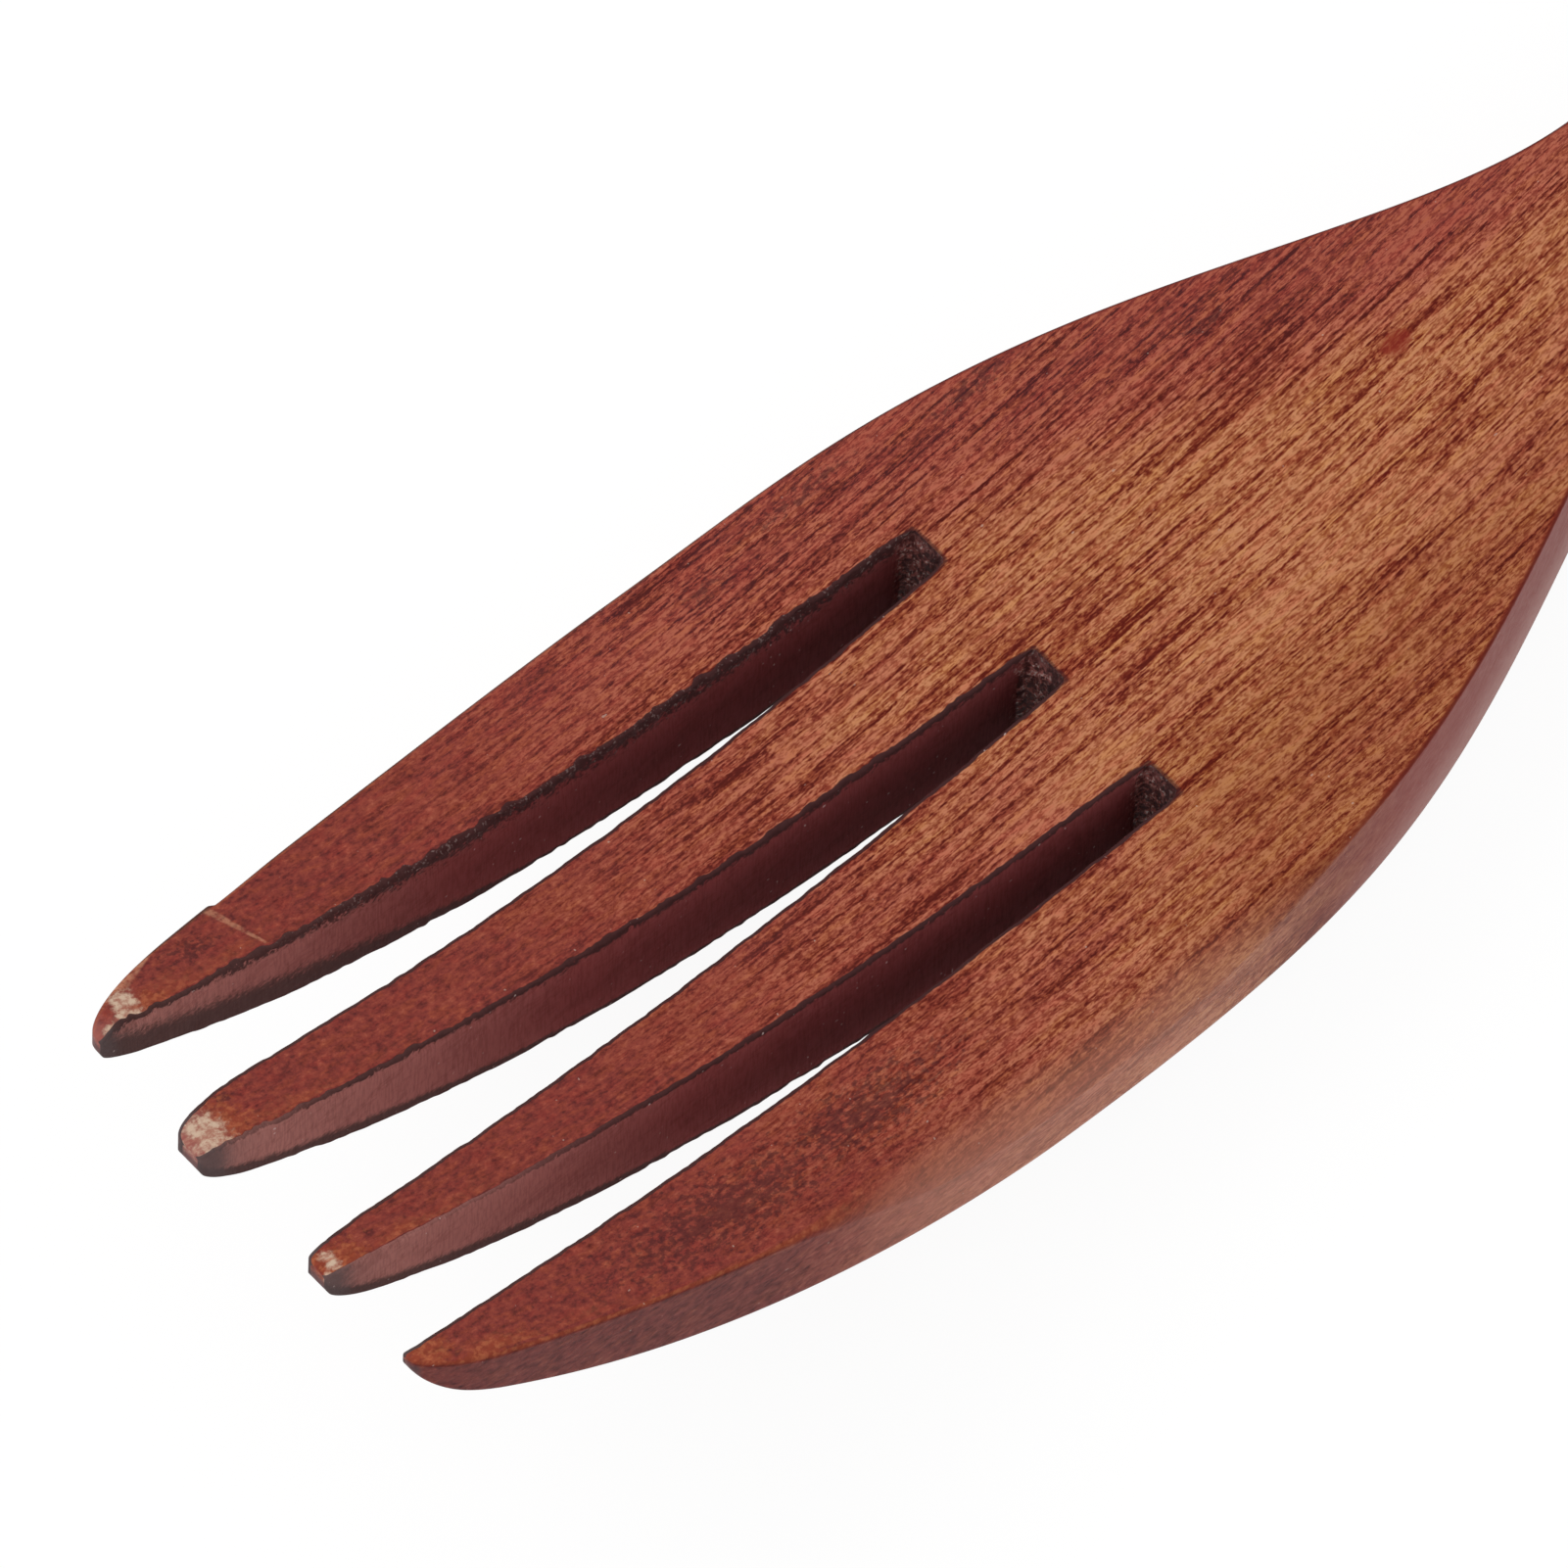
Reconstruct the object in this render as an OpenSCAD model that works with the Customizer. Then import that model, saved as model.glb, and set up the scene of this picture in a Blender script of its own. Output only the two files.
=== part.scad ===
// Wooden table fork carved from one board: four tines, palm, neck and handle.
// X runs from the tine tips to the end of the handle, Y to the right and Z up from the table,
// for someone who holds the handle with the tips pointing away.
// The regions meet face to face on planes across the grain and make one unbroken piece of wood.

/* [Overall] */
// Length from the tine tips to the end of the handle
fork_length = 195; // [170:1:230]

/* [Head outline] */
// Greatest width of the head
head_width = 35; // [32:0.5:40]
// Distance from the tips to the widest place
widest_at = 40; // [34:1:46]
// Width over the outer tines, carried on to the tips
tip_span = 26.2; // [25.4:0.2:29]
// Curve of the outer edge between the tips and the widest place
side_swell = 1.75; // [1.2:0.05:2.2]
// Distance from the tips to the narrowest place of the neck
neck_at = 97; // [92:1:104]
// Width of the neck at its narrowest place
neck_width = 10.5; // [8:0.5:13]
// How far the shoulders are pushed towards the neck
shoulder_bias = 1.65; // [1.3:0.05:1.9]

/* [Slots] */
// Distance from the tips to the slot roots
tine_length = 55; // [48:1:60]
// Place of each slot across the fork at its root, right slot first
slot_root_y = [9.55, 0.6, -7.9]; // [-10:0.05:10]
// Place of each slot across the fork at the tips
slot_tip_y = [8.58, -0.55, -8.65]; // [-10:0.05:10]
// Width of each slot at its root
slot_root_width = [2.35, 2.35, 2.2]; // [1.8:0.05:2.8]
// Width of each slot at the tips
slot_tip_width = [5.3, 6.9, 5.3]; // [5:0.05:7.2]
// How far each slot bows to the right half way along
slot_bow = [0.18, 0.35, 0.45]; // [-0.5:0.01:0.5]
// How much narrower than a straight taper each slot is half way along
slot_waist = [-0.1, 0.55, 0.4]; // [-0.3:0.05:0.8]

/* [Tine tips] */
// Thickness of the blunt end of a tine
tip_thickness = 1.5; // [1.2:0.1:2.2]
// Thickness that the tine's taper reaches at the tip, before the nose is rounded
nose_thickness = 3.1; // [2.6:0.1:3.8]
// Length of the rounded nose under the tip
nose_length = 3; // [2:0.5:5]
// How far the top of the tip is worn down
tip_droop = 0.4; // [0:0.1:0.8]
// Length over which the tines thicken towards the palm
taper_length = 13; // [10:0.5:18]
// Length of the rounded corners at each tine's tip, right tine first
tip_corner_length = [6, 6, 4.5, 4.5]; // [3:0.5:8]
// Depth of the right corner of each tine's tip
tip_corner_right = [1.7, 1.15, 0.5, 0.2]; // [0.1:0.05:1.8]
// Depth of the left corner of each tine's tip, below zero where it flares instead
tip_corner_left = [-0.3, 0.1, 0.1, 1.2]; // [-0.4:0.05:1.6]

/* [Side profile] */
// Angle by which the tines bend up from the palm
tine_bend = 25.6; // [16:0.1:30]
// Distance from the tips to where the tines become straight
tine_bend_start = 6.5; // [4:0.5:12]
// Distance from the tips to where the bend runs out in the palm
tine_bend_end = 48.5; // [42:0.5:54]
// Angle at which the palm falls towards the neck as the fork lies on the table
palm_tilt = 4; // [3:0.1:6]
// Angle by which the neck bends up from the palm
neck_bend = 8.5; // [7:0.1:12]
// Distance from the tips to where the neck begins to rise
neck_bend_start = 61; // [56:1:66]
// Distance from the tips to where the neck has its full rise
neck_bend_end = 81.5; // [76:0.5:88]
// Distance from the tips to where the handle begins to arch back down
arch_start = 98; // [90:1:106]
// Thickness that the tines reach at the palm
palm_thickness = 8.5; // [6.5:0.1:10]
// Thickness of the neck
neck_thickness = 10.7; // [9:0.1:12]
// Distance from the tips to where the wood begins to thicken for the neck
thicken_start = 40; // [34:1:46]
// Distance from the tips to where the neck has its full thickness
thicken_end = 80; // [72:1:90]

/* [Handle] */
// Distance from the tips to the plane between palm and neck
neck_start = 80; // [76:1:86]
// Distance from the tips to the plane between neck and handle
handle_start = 116; // [111:1:125]
// Greatest width of the handle
handle_width = 15; // [12:0.5:19]
// Distance from the end of the handle to its widest place
handle_widest_from_end = 20; // [14:1:30]
// Thickness of the handle near its end
handle_thickness = 8.5; // [7:0.1:10]
// Length of the rounded end of the handle
handle_end_length = 8; // [6:0.5:12]
// How far the end of the handle is drawn in on each side
handle_end_inset = 5; // [3:0.5:5.5]
// How far the top and the bottom of the end are drawn in
handle_end_taper = 2.2; // [1:0.1:2.8]

/* [Edges] */
// Radius along the outer top edges at the tips
tine_top_edge = 0.3; // [0.2:0.05:0.8]
// Radius along the top edges at the widest place, where they are worn soft
side_top_edge = 1.2; // [0.4:0.1:1.6]
// Radius along the top edges of the shoulders
shoulder_top_edge = 0.25; // [0.15:0.05:0.8]
// Distance from the tips to where the shoulders' crisp edges begin
shoulder_edge_at = 62; // [58:1:70]
// Radius along the top edges of the handle
handle_top_edge = 2.6; // [1.2:0.1:3.2]
// Radius along the lower outer edges of the tines at their tips
tine_low_edge = 0.4; // [0.2:0.05:0.8]
// Radius along the lower outer edges of the palm
palm_low_edge = 1.4; // [0.8:0.1:2.2]
// Radius along the lower edges of the neck and the handle
neck_low_edge = 3.4; // [2:0.1:4]
// Radius left on the sawn edges of the slots
slot_edge = 0.2; // [0.1:0.05:0.3]
// How much the back rises towards its edges
back_crown = 0.3; // [0:0.05:0.6]

/* [Hidden] */

// Number of facets in the top and the lower corners of a section
top_facets = 4;
low_facets = 6;
// Number of steps between sections in a tip, a tine, the palm, the neck, the handle and its end
tip_steps = 8;
tine_steps = 18;
palm_steps = 12;
neck_steps = 16;
handle_steps = 22;
end_steps = 8;
// Share of a section's width or thickness that one edge radius may take
edge_share = 0.42;
// Share of a tine's width that the corners of its tip may take together
corner_share = 0.75;

// Distance from the tips to the widest place of the handle and to its rounded end
handle_widest_at = fork_length - handle_widest_from_end;
handle_end_at = fork_length - handle_end_length;

tine_colour = "#8e4a33";
palm_colour = "#ab6b3f";
neck_colour = "#a8673b";
handle_colour = "#a5643a";

function mix(a, b, share) = a + (b - a) * share;
function clamp01(v) = max(0, min(1, v));
function ease(v) = let(c = clamp01(v)) c * c * (3 - 2 * c);

// Quarter-round drop: 1 at the end, 0 one length away from it
function round_drop(distance, length) = 1 - sqrt(1 - pow(1 - clamp01(distance / length), 2));

// Rise of a line that bends from level to a slope of 1 between a and b
function bend_rise(v, a, b) =
    v < a ? 0 : v < b ? (v - a) * (v - a) / (2 * (b - a)) : v - (a + b) / 2;

// Half width of the whole fork
function head_half(x) = head_width / 2
    - (head_width - tip_span) / 2 * pow((widest_at - x) / widest_at, side_swell);
function shoulder_half(x) = mix(head_width, neck_width,
    ease(pow((x - widest_at) / (neck_at - widest_at), shoulder_bias))) / 2;
function handle_half(x) =
    mix(neck_width, handle_width, ease((x - neck_at) / (handle_widest_at - neck_at))) / 2
    - handle_end_inset * round_drop(fork_length - x, handle_end_length);
function half_width(x) =
    x < widest_at ? head_half(x) : x < neck_at ? shoulder_half(x) : handle_half(x);

// Right (side = 1) or left (side = -1) wall of a slot: straight tapers with a little bow
function slot_wall(slot, x, side) =
    let(out = (tine_length - x) / tine_length, middle = 4 * out * (1 - out))
    mix(slot_root_y[slot], slot_tip_y[slot], out) + slot_bow[slot] * middle
    + side / 2 * (mix(slot_root_width[slot], slot_tip_width[slot], out) - slot_waist[slot] * middle);

// Right and left sides of a tine, before and after its tip corners are rounded
function tine_right_raw(tine, x) = tine == 0 ? half_width(x) : slot_wall(tine - 1, x, -1);
function tine_left_raw(tine, x) = tine == 3 ? -half_width(x) : slot_wall(tine, x, 1);
function corner_fit(tine) = min(1, corner_share * (tine_right_raw(tine, 0) - tine_left_raw(tine, 0))
    / (tip_corner_right[tine] + tip_corner_left[tine]));
function tine_right(tine, x) = tine_right_raw(tine, x)
    - corner_fit(tine) * tip_corner_right[tine] * round_drop(x, tip_corner_length[tine]);
function tine_left(tine, x) = tine_left_raw(tine, x)
    + corner_fit(tine) * tip_corner_left[tine] * round_drop(x, tip_corner_length[tine]);

// Thickness along the fork
function tine_taper(x) = palm_thickness
    - (palm_thickness - nose_thickness) * exp(-x / taper_length)
    - (nose_thickness - tip_thickness) * round_drop(x, nose_length);
function thickness(x) =
    mix(mix(tine_taper(x), neck_thickness, ease((x - thicken_start) / (thicken_end - thicken_start))),
        handle_thickness, ease((x - neck_at) / (handle_widest_at - neck_at)))
    - 2 * handle_end_taper * round_drop(fork_length - x, handle_end_length);

// Height of the top face before the handle arches down, measured from the slot roots
function straight_top(x) = -tan(palm_tilt) * (x - tine_length)
    + tan(tine_bend) * bend_rise(-x, -tine_bend_end, -tine_bend_start)
    + tan(neck_bend) * bend_rise(x, neck_bend_start, neck_bend_end)
    - tip_droop * round_drop(x, nose_length)
    - handle_end_taper * round_drop(fork_length - x, handle_end_length);

// Stations along the fork, close together at both rounded ends
function tine_stations(tine) = concat(
    [for (i = [0 : tip_steps - 1]) tip_corner_length[tine] * (1 - cos(90 * i / tip_steps))],
    [for (i = [0 : tine_steps]) mix(tip_corner_length[tine], tine_length, i / tine_steps)]);
palm_stations = [for (i = [0 : palm_steps]) mix(tine_length, neck_start, i / palm_steps)];
neck_stations = [for (i = [0 : neck_steps]) mix(neck_start, handle_start, i / neck_steps)];
handle_stations = concat(
    [for (i = [0 : handle_steps]) mix(handle_start, handle_end_at, i / handle_steps)],
    [for (i = [1 : end_steps]) handle_end_at + handle_end_length * sin(90 * i / end_steps)]);

// The back of the head and the end of the handle both touch the table
belly = min([for (x = concat(tine_stations(0), palm_stations, neck_stations))
    straight_top(x) - thickness(x)]);
arch = min([for (x = handle_stations)
    (straight_top(x) - thickness(x) - belly) / pow(x - arch_start, 2)]);
function top(x) = straight_top(x) - arch * pow(max(0, x - arch_start), 2) - belly;

// Edge radii of the outer edges along the fork
function head_top_edge(x) = mix(mix(tine_top_edge, side_top_edge, ease(x / widest_at)),
    shoulder_top_edge, ease((x - widest_at) / (shoulder_edge_at - widest_at)));
function outer_top_edge(x) =
    mix(head_top_edge(x), handle_top_edge, ease((x - neck_start) / (handle_start - neck_start)));
function outer_low_edge(x) = mix(mix(tine_low_edge, palm_low_edge, ease(x / tine_length)),
    neck_low_edge, ease((x - neck_start) / (handle_start - neck_start)));

function corner(y, z, radius, from, facets) = [for (i = [0 : facets])
    let(a = from + 90 * i / facets) [y + radius * cos(a), z + radius * sin(a)]];

// Section across the fork between two sides: rounded corners and a lightly crowned back
function section(x, left, right, sawn_left, sawn_right) =
    let(t = thickness(x),
        room = edge_share * min(right - left, t),
        top_left = min(room, sawn_left ? slot_edge : outer_top_edge(x)),
        top_right = min(room, sawn_right ? slot_edge : outer_top_edge(x)),
        low_left = min(room, sawn_left ? slot_edge : outer_low_edge(x)),
        low_right = min(room, sawn_right ? slot_edge : outer_low_edge(x)),
        outline = concat(
            corner(right - low_right, low_right - t, low_right, -90, low_facets),
            corner(right - top_right, -top_right, top_right, 0, top_facets),
            corner(left + top_left, -top_left, top_left, 90, top_facets),
            corner(left + low_left, low_left - t, low_left, 180, low_facets)))
    [for (p = outline) [x - fork_length / 2, p[0],
        top(x) + p[1] - back_crown * p[1] / t * pow(p[0] / half_width(x), 2)]];

// Closed solid through a row of sections with equally many points
module loft(sections) {
    count = len(sections[0]);
    last = len(sections) - 1;
    sides = [for (i = [0 : last - 1], j = [0 : count - 1])
        let(k = (j + 1) % count)
        each [[i * count + j, i * count + k, (i + 1) * count + k],
              [i * count + j, (i + 1) * count + k, (i + 1) * count + j]]];
    start = [for (j = [count - 1 : -1 : 0]) j];
    finish = [for (j = [0 : count - 1]) last * count + j];
    polyhedron(points = [for (s = sections, p = s) p], faces = concat(sides, [start, finish]));
}

module tine(number) {
    color(tine_colour)
        loft([for (x = tine_stations(number))
            section(x, tine_left(number, x), tine_right(number, x), number < 3, number > 0)]);
}

module whole_width(stations) {
    loft([for (x = stations) section(x, -half_width(x), half_width(x), false, false)]);
}

module tine_1() { tine(0); }
module tine_2() { tine(1); }
module tine_3() { tine(2); }
module tine_4() { tine(3); }
module palm() { color(palm_colour) whole_width(palm_stations); }
module neck() { color(neck_colour) whole_width(neck_stations); }
module handle() { color(handle_colour) whole_width(handle_stations); }

tine_1();
tine_2();
tine_3();
tine_4();
palm();
neck();
handle();
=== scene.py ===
"""A wooden table fork, carved from one board, stained red-brown, lacquered and a little worn.

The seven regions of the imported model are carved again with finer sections: ragged saw cuts along
the slots, broken edges, torn slot ends and worn tips. One wood runs through all of them.
"""
import math
from functools import reduce
from typing import NamedTuple

import bpy
import numpy as np
from mathutils import Matrix, Vector


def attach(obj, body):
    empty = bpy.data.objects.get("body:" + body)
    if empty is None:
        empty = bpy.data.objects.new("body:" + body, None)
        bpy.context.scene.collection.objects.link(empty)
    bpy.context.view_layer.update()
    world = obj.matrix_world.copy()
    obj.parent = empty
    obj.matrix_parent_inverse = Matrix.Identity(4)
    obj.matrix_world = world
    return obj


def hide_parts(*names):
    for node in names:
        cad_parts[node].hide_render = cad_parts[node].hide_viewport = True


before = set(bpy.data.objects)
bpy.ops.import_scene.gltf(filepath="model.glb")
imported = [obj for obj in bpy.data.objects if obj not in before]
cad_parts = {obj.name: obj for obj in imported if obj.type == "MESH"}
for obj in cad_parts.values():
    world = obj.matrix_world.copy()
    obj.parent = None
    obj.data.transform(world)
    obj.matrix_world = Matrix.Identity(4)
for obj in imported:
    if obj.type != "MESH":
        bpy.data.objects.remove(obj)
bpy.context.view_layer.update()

MM = 0.001

# Shape of the fork, with lengths in millimetres: x from the tine tips, y to the right, z from the table
FORK_LENGTH = 195.0
HEAD_WIDTH = 35.0
WIDEST_AT = 40.0
TIP_SPAN = 26.2
SIDE_SWELL = 1.75
NECK_AT = 97.0
NECK_WIDTH = 10.5
SHOULDER_BIAS = 1.65

TINE_COUNT = 4
SLOT_COUNT = TINE_COUNT - 1
TINE_LENGTH = 55.0
SLOT_ROOT_Y = (9.55, 0.6, -7.9)
SLOT_TIP_Y = (8.58, -0.55, -8.65)
SLOT_ROOT_WIDTH = (2.35, 2.35, 2.2)
SLOT_TIP_WIDTH = (5.3, 6.9, 5.3)
SLOT_BOW = (0.18, 0.35, 0.45)
SLOT_WAIST = (-0.1, 0.55, 0.4)

TIP_THICKNESS = 1.5
NOSE_THICKNESS = 3.1
NOSE_LENGTH = 3.0
TIP_DROOP = 0.4
TAPER_LENGTH = 13.0
TIP_CORNER_LENGTH = (7.5, 6.0, 4.5, 4.5)
TIP_CORNER_RIGHT = (1.6, 1.3, 0.35, -0.15)
TIP_CORNER_LEFT = (-0.3, 0.2, 0.2, 1.45)

TINE_BEND = math.radians(25.6)
TINE_BEND_START = 6.5
TINE_BEND_END = 48.5
PALM_TILT = math.radians(4.0)
NECK_BEND = math.radians(8.5)
NECK_BEND_START = 61.0
NECK_BEND_END = 81.5
ARCH_START = 98.0
PALM_THICKNESS = 8.5
NECK_THICKNESS = 10.7
THICKEN_START = 40.0
THICKEN_END = 80.0

NECK_START = 80.0
HANDLE_START = 116.0
HANDLE_WIDTH = 15.0
HANDLE_WIDEST_AT = FORK_LENGTH - 20.0
HANDLE_THICKNESS = 8.5
HANDLE_END_LENGTH = 8.0
HANDLE_END_INSET = 5.0
HANDLE_END_TAPER = 2.2

TINE_TOP_EDGE = 0.3
SIDE_TOP_EDGE = 3.0
SIDE_EDGE_START = 20.0
SIDE_EDGE_END = 62.0
SIDE_EDGE_RUN = 14.0
HANDLE_TOP_EDGE = 2.6
HANDLE_EDGE_START = 98.0
HANDLE_EDGE_END = 128.0
TINE_LOW_EDGE = 0.4
PALM_LOW_EDGE = 1.4
NECK_LOW_EDGE = 3.4
BACK_CROWN = 0.3
# An edge takes up no more than this share of the section
EDGE_SHARE = 0.42
# Top edge of the slots, which gets sharper over the run before their ends, and the edge of their foot
SLOT_EDGE = 0.2
SLOT_EDGE_END_SHARE = 0.1
SLOT_EDGE_RUN = 1.2
FOOT_EDGE = 0.08

# What the saw and use have done to the wood, in millimetres.
# Depth and height of the broken band under the top edge of a tine's left and right slot wall, and the
# share of that height that it has at the tips
CHIP_DEPTH = {"left": (0.30, 0.20, 0.10, 0.0), "right": (0.0, 0.09, 0.09, 0.09)}
CHIP_HEIGHT = {"left": (1.5, 0.6, 0.3, 0.3), "right": (0.3, 0.3, 0.3, 0.3)}
CHIP_TIP_SHARE = {"left": 0.25, "right": 1.0}
CHIP_RUN = 26.0
# Chips as length and height; where the patches of both sum to less than the level, the wall is whole
COARSE_CHIP = (0.8, 0.5)
FINE_CHIP = (0.3, 0.25)
FINE_CHIP_SHARE = 0.6
CHIP_LEVEL = 0.55
# Height of the painted shade along the foot of a tine's slot walls: near the tips, and behind them
FOOT_SHADE_HEIGHT = (3.2, 1.3, 1.3, 0.9)
FOOT_SHADE_ROOT_HEIGHT = 0.45
FOOT_SHADE_END = 32.0
FOOT_SHADE_RUN = 24.0
# How far the foot of a slot wall stands out into the slot near its root
FOOT_DRAFT = {"left": (0.25, 0.1, 0.3, 0.0), "right": (0.0, 0.0, 0.0, 0.0)}
FOOT_DRAFT_RUN = 45.0
FOOT_DRAFT_FADE = 2.0
# Ragged lower edge of the slot walls: its depth, how much more it is broken upwards, the lengths of the
# tears and the rows of patches they are taken from
LOW_RAG = 0.09
LOW_RAG_LIFT = 2.0
LOW_RAG_START = 1.0
LOW_RAG_RUN = 8.0
TEAR_LENGTHS = (0.45, 2.1)
TEAR_ROWS = (3.7, 1.3)
TEAR_LEVEL = 0.3
TEAR_HEIGHT = 0.3
# Waves that the saw leaves, leaning with the stroke
SAW_WAVE_DEPTH = 0.025
SAW_WAVE = (0.9, 3.0)
SAW_WAVE_LEAN = 0.3
# The saw's marks end before the slot ends and the tips
CUT_FADE_ROOT = 5.0
CUT_FADE_TIP = 1.5
# Seeds of the random patches on the slot walls
SEEDS_PER_TINE = 10
FIRST_SEED = {"left": 1, "right": 5}
# Round-over of the blunt tips, up to a share of their width, and of the handle's end
TIP_ROUND = 0.22
TIP_ROUND_SHARE = 0.3
HANDLE_END_ROUND = 0.7
# How far each tine is drawn out, over this run; the second is the longest
TIP_REACH = (-0.1, 0.45, 0.1, 0.05)
TIP_REACH_RUN = 12.0
# How much thinner than the others a tine's tip is worn, over this run
TIP_WORN = (0.0, 0.0, 0.0, 0.7)
TIP_WORN_RUN = 2.5
# A soft step in the first tine's outer edge, at the end of a scratch
STEP_AT = 11.0
STEP_HEIGHT = 0.1
STEP_RUN = 6.0
STEP_SLOPE = 0.5
# Torn wood at the slot ends: its fillets at the top and further down, how rough it is, and its tufts as
# width, height and the first of their seeds
SLOT_END_FILLET = (0.16, 0.16, 0.35)
SLOT_END_DEEP_FILLET = 0.75
SLOT_END_FILLET_RUN = 1.6
SLOT_END_ROUGH = 0.2
SLOT_END_ROUGH_RUN = 0.5
TORN_TUFTS = ((0.3, 0.7, 60), (0.15, 0.3, 70))

# How finely the pieces are cut: sections along each, and columns across its top and back
TINE_STEP = 0.12
TIP_SECTIONS = 7
PALM_SECTIONS = 80
NECK_SECTIONS = 90
HANDLE_SECTIONS = 110
HANDLE_END_SECTIONS = 25
TINE_COLUMNS = 24
PALM_COLUMNS = 100
SLOT_END_COLUMNS = 18
NECK_COLUMNS = 60
HANDLE_COLUMNS = 40
CORNER_STEPS = 5
# Places down a side wall, closest where it is broken
WALL_SHARES = np.array((0.02, 0.045, 0.075, 0.11, 0.15, 0.2, 0.27, 0.36, 0.47, 0.59, 0.7, 0.8, 0.88,
                        0.93, 0.97))
# Columns of the palm beside a slot wall: a close pair at the wall, and no other within the clear share
LIP_GAP_SHARE = 0.0006
CLEAR_SHARE = 0.003
# The palm's columns run straight down as far as this from its middle
SLOT_SPAN = 12.0
# A ghost section lies this far past the end of a piece
GHOST_STEP = 0.05
# Places at which the back is tried against the table
TABLE_SAMPLES = 2000
# Stands for a distance from something that isn't near
FAR_OFF = 9.0
# Points this little before the slot ends count as behind them
SLOT_END_SLACK = 0.1
TINY = 1e-6


def mix(a, b, share):
    return a + (b - a) * share


def ease(v):
    c = np.clip(v, 0.0, 1.0)
    return c * c * (3.0 - 2.0 * c)


def unit(vectors):
    return vectors / np.maximum(np.linalg.norm(vectors, axis=-1, keepdims=True), TINY ** 2)


def round_drop(distance, length):
    """Quarter-round drop: 1 at the end, 0 one length away from it."""
    return 1.0 - np.sqrt(1.0 - (1.0 - np.clip(distance / length, 0.0, 1.0)) ** 2)


def bend_rise(v, a, b):
    """Rise of a line that bends from level to a slope of 1 between a and b."""
    return np.where(v < a, 0.0, np.where(v < b, (v - a) ** 2 / (2 * (b - a)), v - (a + b) / 2))


def half_width(x):
    to_widest = np.clip((WIDEST_AT - x) / WIDEST_AT, 0.0, None)
    head = HEAD_WIDTH / 2 - (HEAD_WIDTH - TIP_SPAN) / 2 * to_widest ** SIDE_SWELL
    from_widest = np.clip((x - WIDEST_AT) / (NECK_AT - WIDEST_AT), 0.0, None)
    shoulder = mix(HEAD_WIDTH, NECK_WIDTH, ease(from_widest ** SHOULDER_BIAS)) / 2
    handle = (mix(NECK_WIDTH, HANDLE_WIDTH, ease((x - NECK_AT) / (HANDLE_WIDEST_AT - NECK_AT))) / 2
              - HANDLE_END_INSET * round_drop(FORK_LENGTH - x, HANDLE_END_LENGTH))
    return np.where(x < WIDEST_AT, head, np.where(x < NECK_AT, shoulder, handle))


def slot_wall(slot, x, side):
    """Right (side 1) or left (side -1) wall of a slot: straight tapers with a little bow."""
    out = (TINE_LENGTH - x) / TINE_LENGTH
    middle = 4 * out * (1 - out)
    width = mix(SLOT_ROOT_WIDTH[slot], SLOT_TIP_WIDTH[slot], out) - SLOT_WAIST[slot] * middle
    return (mix(SLOT_ROOT_Y[slot], SLOT_TIP_Y[slot], out) + SLOT_BOW[slot] * middle
            + side / 2 * width)


def outer_step(x):
    """The outer edge of the first tine stands out before the scratch and lies back behind it."""
    from_step = x - STEP_AT
    height = STEP_HEIGHT * ease(1.0 - np.abs(from_step / STEP_RUN))
    return height * mix(1.0, -1.0, ease(from_step / STEP_SLOPE + 0.5))


def tine_right(tine, x):
    raw = half_width(x) + outer_step(x) if tine == 0 else slot_wall(tine - 1, x, -1)
    return raw - TIP_CORNER_RIGHT[tine] * round_drop(x, TIP_CORNER_LENGTH[tine])


def tine_left(tine, x):
    raw = -half_width(x) if tine == TINE_COUNT - 1 else slot_wall(tine, x, 1)
    return raw + TIP_CORNER_LEFT[tine] * round_drop(x, TIP_CORNER_LENGTH[tine])


def thickness(x):
    tine = (PALM_THICKNESS - (PALM_THICKNESS - NOSE_THICKNESS) * np.exp(-x / TAPER_LENGTH)
            - (NOSE_THICKNESS - TIP_THICKNESS) * round_drop(x, NOSE_LENGTH))
    head = mix(tine, NECK_THICKNESS, ease((x - THICKEN_START) / (THICKEN_END - THICKEN_START)))
    whole = mix(head, HANDLE_THICKNESS, ease((x - NECK_AT) / (HANDLE_WIDEST_AT - NECK_AT)))
    return whole - 2 * HANDLE_END_TAPER * round_drop(FORK_LENGTH - x, HANDLE_END_LENGTH)


def straight_top(x):
    """Height of the top face before the handle arches down, measured from the slot roots."""
    return (-math.tan(PALM_TILT) * (x - TINE_LENGTH)
            + math.tan(TINE_BEND) * bend_rise(-x, -TINE_BEND_END, -TINE_BEND_START)
            + math.tan(NECK_BEND) * bend_rise(x, NECK_BEND_START, NECK_BEND_END)
            - TIP_DROOP * round_drop(x, NOSE_LENGTH)
            - HANDLE_END_TAPER * round_drop(FORK_LENGTH - x, HANDLE_END_LENGTH))


def straight_back(x):
    return straight_top(x) - thickness(x)


def lay_on_table():
    """Height of the lowest point of the head, and the arch that brings the handle's end down to it."""
    head = np.linspace(0.0, HANDLE_START, TABLE_SAMPLES)
    handle = np.linspace(HANDLE_START, FORK_LENGTH, TABLE_SAMPLES)
    belly = straight_back(head).min()
    return belly, ((straight_back(handle) - belly) / (handle - ARCH_START) ** 2).min()


BELLY, ARCH = lay_on_table()


def top(x):
    return straight_top(x) - ARCH * np.maximum(0.0, x - ARCH_START) ** 2 - BELLY


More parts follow.
